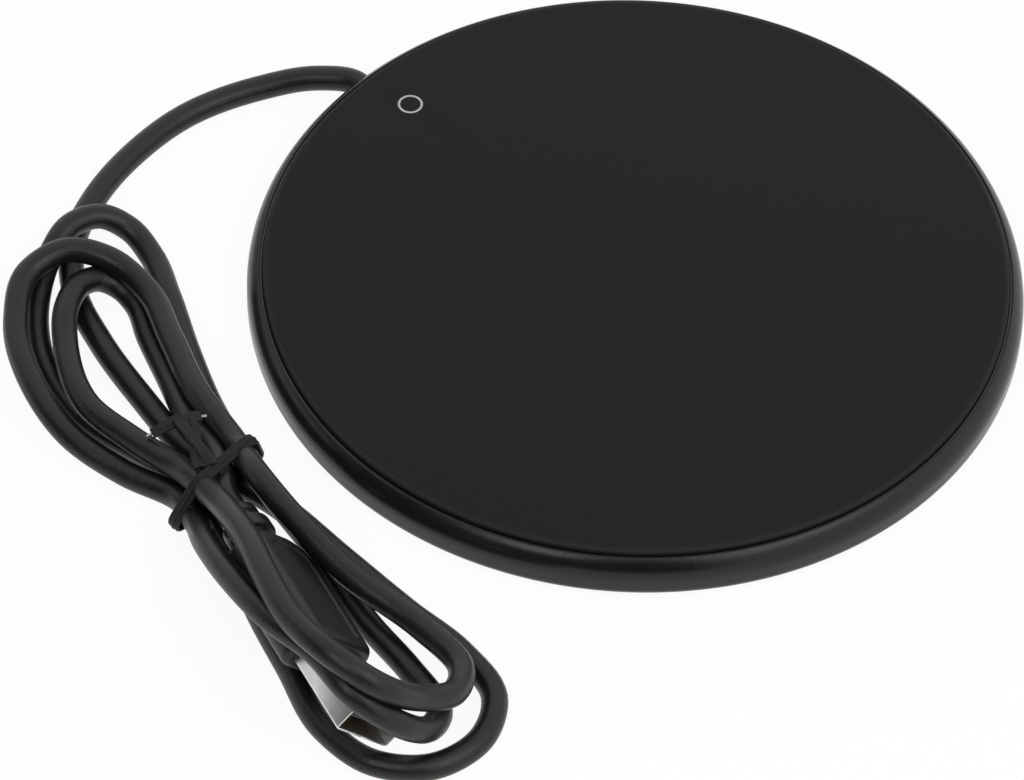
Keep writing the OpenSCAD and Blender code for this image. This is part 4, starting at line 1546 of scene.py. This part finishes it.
@dataclass
class Housing:
    """Rim ring with its screw bosses, and the rubber feet.

    The exit's flare gives how much the radius of the cord's hole grows at distances from the
    centre. The rib of a boss is shorter and lower than its room by rib_short and rib_low. The
    foot's tread gives where its ring groove starts and ends, as shares of its radius.
    """

    radius: float = 60.0
    opening: float = 58.0
    ledge: float = 55.6
    bottom: float = 0.4
    floor_top: float = 1.6
    top: float = 8.0
    top_rounding: float = 4.2
    low_rounding: float = 1.8
    lip: float = 0.15
    step: float = 0.28
    step_top: float = 7.0
    boss_ring: float = 52.0
    boss_angles: tuple[int, ...] = (45, 135, 225, 315)
    boss_d: float = 5.0
    boss_top: float = 4.2
    pilot_top: float = 3.8
    screw_d: float = 2.1
    rib_t: float = 1.6
    rib_short: float = 1.0
    rib_low: float = 0.4
    rib_out: float = 1.2
    rib_r: float = 0.15
    exit_z: float = 4.0
    exit_d: float = 4.3
    exit_flare: tuple[Flat, ...] = (
        (0.0, 56.0), (0.0, 59.4), (0.12, 59.7), (0.45, 60.1), (0.45, 61.0),
    )
    foot_d: float = 12.0
    foot_t: float = 0.9
    foot_ring: float = 42.0
    foot_angles: tuple[int, ...] = (0, 90, 180, 270)
    foot_groove: float = 0.15
    foot_tread: Flat = (0.5, 0.66)
    foot_soft: float = 0.05

    def build(self) -> None:
        """Make the housing's visible pieces."""
        self._rim()
        self._feet()

    def _section(self) -> list[Flat]:
        """Give the rim's section: a full outer round, a soft lip, and the step inside it."""
        centre = (self.radius - self.top_rounding, self.top - self.top_rounding)
        lip_out = self.opening + self.lip - centre[0]
        lip_up = math.sqrt((self.top_rounding - self.lip) ** 2 - lip_out**2)
        meeting = math.atan2(lip_up, lip_out)
        crown = arc(centre, self.top_rounding, 0.0, meeting, 26)
        lip_centre = (self.opening + self.lip, centre[1] + lip_up)
        lip = arc(lip_centre, self.lip, meeting, math.pi, 6)
        foot = Corner(self.radius, self.bottom, self.low_rounding, 12)
        low = rounded([(self.ledge, self.bottom), foot, (self.radius, centre[1])])[:-1]
        inner = [
            (self.opening, self.step_top), (self.opening - self.step, self.step_top),
            (self.opening - self.step, self.floor_top), (self.ledge, self.floor_top),
        ]
        return low + crown + lip[1:] + inner

    def _rim(self) -> None:
        """Make the rim, its bosses and the hole that the cord leaves by."""
        rim = Bench.turned("rim", self._section(), Facets.BODY, closed=True)
        flare = [(self.exit_d / 2 + wider, out) for wider, out in self.exit_flare]
        hole = [(0, flare[0][1]), *flare, (0, flare[-1][1])]
        mouth = Bench.turned("mouth", hole, Facets.ROUND)
        Bench.cut(rim, Bench.settle(mouth, moved(0, 0, self.exit_z) @ turned_by(-90, "X")))
        pilot, wall = self.screw_d / 2, self.boss_d / 2
        post = [
            Corner(0, self.pilot_top), Corner(pilot, self.pilot_top),
            Corner(pilot, self.floor_top), Corner(wall, self.floor_top),
            Corner(wall, self.boss_top, 0.3, 3), Corner(0, self.boss_top),
        ]
        boss = Bench.turned("boss", post, Facets.POST)
        room = self.opening - self.boss_ring
        height = self.boss_top - self.floor_top
        size = (room - self.rib_short, self.rib_t, height - self.rib_low)
        level = self.floor_top + height / 2 - self.rib_low / 2
        rib = Bench.block("rib", size, (room / 2 + self.rib_out, 0, level), self.rib_r)
        boss = Bench.joined([boss, rib], "boss")
        bosses = Bench.ringed(boss, self.boss_ring, self.boss_angles)
        rim = Bench.joined([rim, *bosses], "rim_ring")
        Bench.smooth(rim, 30.0)
        mount(rim, RimGloss(), Body.HOUSING, "rim_housing")

    def _feet(self) -> None:
        """Make the four feet, each with a rounded edge and a ring groove in its tread."""
        r, deep, soft = self.foot_d / 2, self.foot_groove, self.foot_soft
        inner, outer = (r * share for share in self.foot_tread)
        pad = [
            Corner(0, 0), Corner(inner, 0, soft, 2), Corner(inner, deep, soft, 2),
            Corner(outer, deep, soft, 2), Corner(outer, 0, soft, 2), Corner(r, 0, 0.3, 5),
            Corner(r, self.foot_t, 0.1, 2), Corner(0, self.foot_t),
        ]
        foot = Bench.turned("foot", pad, Facets.ROUND)
        feet = Bench.joined(Bench.ringed(foot, self.foot_ring, self.foot_angles), "rubber_feet")
        Bench.smooth(feet)
        rubber = MouldedPlastic("foot_rubber", (0.028, 0.028, 0.029), 0.7, 0.3, 0.02, 0.25)
        mount(feet, rubber, Body.HOUSING, "foot_pads")


# ---------------------------------------------------------------------------------------------
# Plate


@dataclass
class WarmPlate:
    """The plate that the mug stands on, with the lit ring near the cord's exit."""

    radius: float = 57.6
    bottom: float = 7.0
    top: float = 8.0
    edge: float = 0.65
    ring_y: float = 48.7
    ring_d: float = 4.0
    ring_line: float = 0.4
    ring_deep: float = 0.3
    pipe_r: float = 1.6
    pipe_skin: float = 0.2

    def build(self) -> None:
        """Make the plate and its ring."""
        self._plate()
        self._ring()

    def _hoop(self, name: str, top: float, edge: float) -> bpy.types.Object:
        """Make a hoop of the ring's size, in the ring's place.

        Args:
            name: Name of the piece.
            top: Height of its top in millimetres.
            edge: Radius of its top edges in millimetres.

        Returns:
            The hoop.
        """
        out, low = self.ring_d / 2, self.top - self.ring_deep
        into = out - self.ring_line
        corners = [
            Corner(into, low), Corner(out, low), Corner(out, top, edge, 2),
            Corner(into, top, edge, 2),
        ]
        hoop = Bench.turned(name, corners, Facets.RING, closed=True)
        return Bench.settle(hoop, moved(0, self.ring_y, 0))

    def _plate(self) -> None:
        """Make the plate, with the ring's groove above and the light pipe's well below."""
        disc = [
            Corner(0, self.bottom), Corner(self.radius, self.bottom, 0.1, 2),
            Corner(self.radius, self.top, self.edge, 6), Corner(0, self.top),
        ]
        plate = Bench.turned("mug_plate", disc, Facets.BODY)
        groove = self._hoop("groove", self.top + 1, 0.0)
        low, high = self.bottom - 1, self.top - self.ring_deep - self.pipe_skin
        shaft = [(0, low), (self.pipe_r, low), (self.pipe_r, high), (0, high)]
        well = Bench.turned("well", shaft, Facets.POST)
        Bench.cut(plate, groove, Bench.settle(well, moved(0, self.ring_y, 0)))
        Bench.smooth(plate, 30.0)
        mount(plate, PlateCoat(), Body.PLATE, "warming_plate")

    def _ring(self) -> None:
        """Make the frosted ring that shows the lamp's light."""
        ring = Bench.smooth(self._hoop("ring_window", self.top, 0.05))
        resin = SmoothPolymer("ring_resin", (0.6, 0.6, 0.6), 0.5)
        mount(ring, resin, Body.PLATE, "light_ring")


# ---------------------------------------------------------------------------------------------
# Parts inside


@dataclass
class InnerWorks:
    """Nodes whose shape is right as packed: they keep it and get their finish."""

    steel: Colour = (0.55, 0.55, 0.56)
    dark: Colour = (0.012, 0.012, 0.013)

    def _finishes(self) -> dict[str, Finish]:
        """Give each node's finish by the node's name."""
        screw = DrawnMetal("screw_steel", self.steel, 0.3)
        spring = DrawnMetal("spring_steel", (0.6, 0.6, 0.62), 0.24)
        chip = MouldedPlastic("chip_resin", (0.014, 0.014, 0.015), 0.5, 0.15, 0.008)
        base = MouldedPlastic("base_texture", (0.014, 0.014, 0.0145), 0.58, 0.5, 0.03, 0.3)
        ceramic = MouldedPlastic("capacitor_ceramic", (0.3, 0.17, 0.085), 0.4, 0.1, 0.004)
        glaze = MouldedPlastic("resistor_glaze", (0.02, 0.02, 0.022), 0.3, 0.1, 0.004)
        sheet = DrawnMetal("spreader_aluminium", (0.72, 0.73, 0.74), 0.32, (60.0, 5000.0, 60.0))
        return {
            "base_cover": base,
            "case_screws": screw,
            "board_screws": screw,
            "shoulder_screws": screw,
            "circuit_board": BoardLacquer(),
            "control_chip": chip,
            "power_transistor": chip,
            "chip_capacitors": ceramic,
            "chip_resistors": glaze,
            "indicator_lamp": SmoothPolymer("lamp_resin", (0.8, 0.78, 0.68), 0.2),
            "switch_body": MouldedPlastic("switch_resin", (0.02, 0.02, 0.021), 0.45, 0.2, 0.008),
            "switch_plunger": MouldedPlastic(
                "plunger_resin", (0.42, 0.02, 0.015), 0.35, 0.2, 0.004
            ),
            "light_pipe": SmoothPolymer("light_pipe", (0.86, 0.9, 0.93), 0.05, 0.9),
            "heat_spreader": sheet,
            "heater_film": SmoothPolymer("polyimide_film", (0.5, 0.2, 0.03), 0.2),
            "heater_trace": DrawnMetal("trace_copper", (0.72, 0.36, 0.2), 0.26),
            "insulation_pad": FibreFelt(),
            "plate_carrier": MouldedPlastic("carrier_resin", self.dark, 0.5, 0.4, 0.015),
            "thermistor": SmoothPolymer("thermistor_bead", (0.01, 0.015, 0.14), 0.22),
            "thermal_fuse": DrawnMetal("fuse_can", (0.66, 0.66, 0.62), 0.3),
            "spring_front": spring,
            "spring_right": spring,
            "spring_left": spring,
            "heater_leads": SmoothPolymer("lead_red", (0.45, 0.015, 0.01), 0.35),
            "sensor_leads": SmoothPolymer("lead_yellow", (0.65, 0.5, 0.04), 0.35),
            "power_leads": SmoothPolymer("power_red", (0.4, 0.012, 0.01), 0.35),
            "cord_anchor": MouldedPlastic("anchor_resin", self.dark, 0.4, 0.4, 0.012),
        }

    def build(self) -> None:
        """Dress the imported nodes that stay."""
        for name, finish in self._finishes().items():
            dress(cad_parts[name], finish.build())
            LOG.info("%s keeps its packed shape, in %s", name, finish.name)


def main() -> None:
    """Build the studio, the cord and its pieces, then the warmer from the outside in."""
    logging.basicConfig(level=logging.INFO, format="%(name)s: %(message)s")
    Studio().build()
    cord = Cord()
    cord_piece, middle = cord.build()
    carried = [*Plug().build(), *TwistTie().build()]
    mm(*cord.exit_point)
    Housing().build()
    WarmPlate().build()
    InnerWorks().build()
    Bench.clear()


if __name__ == "__main__":
    main()
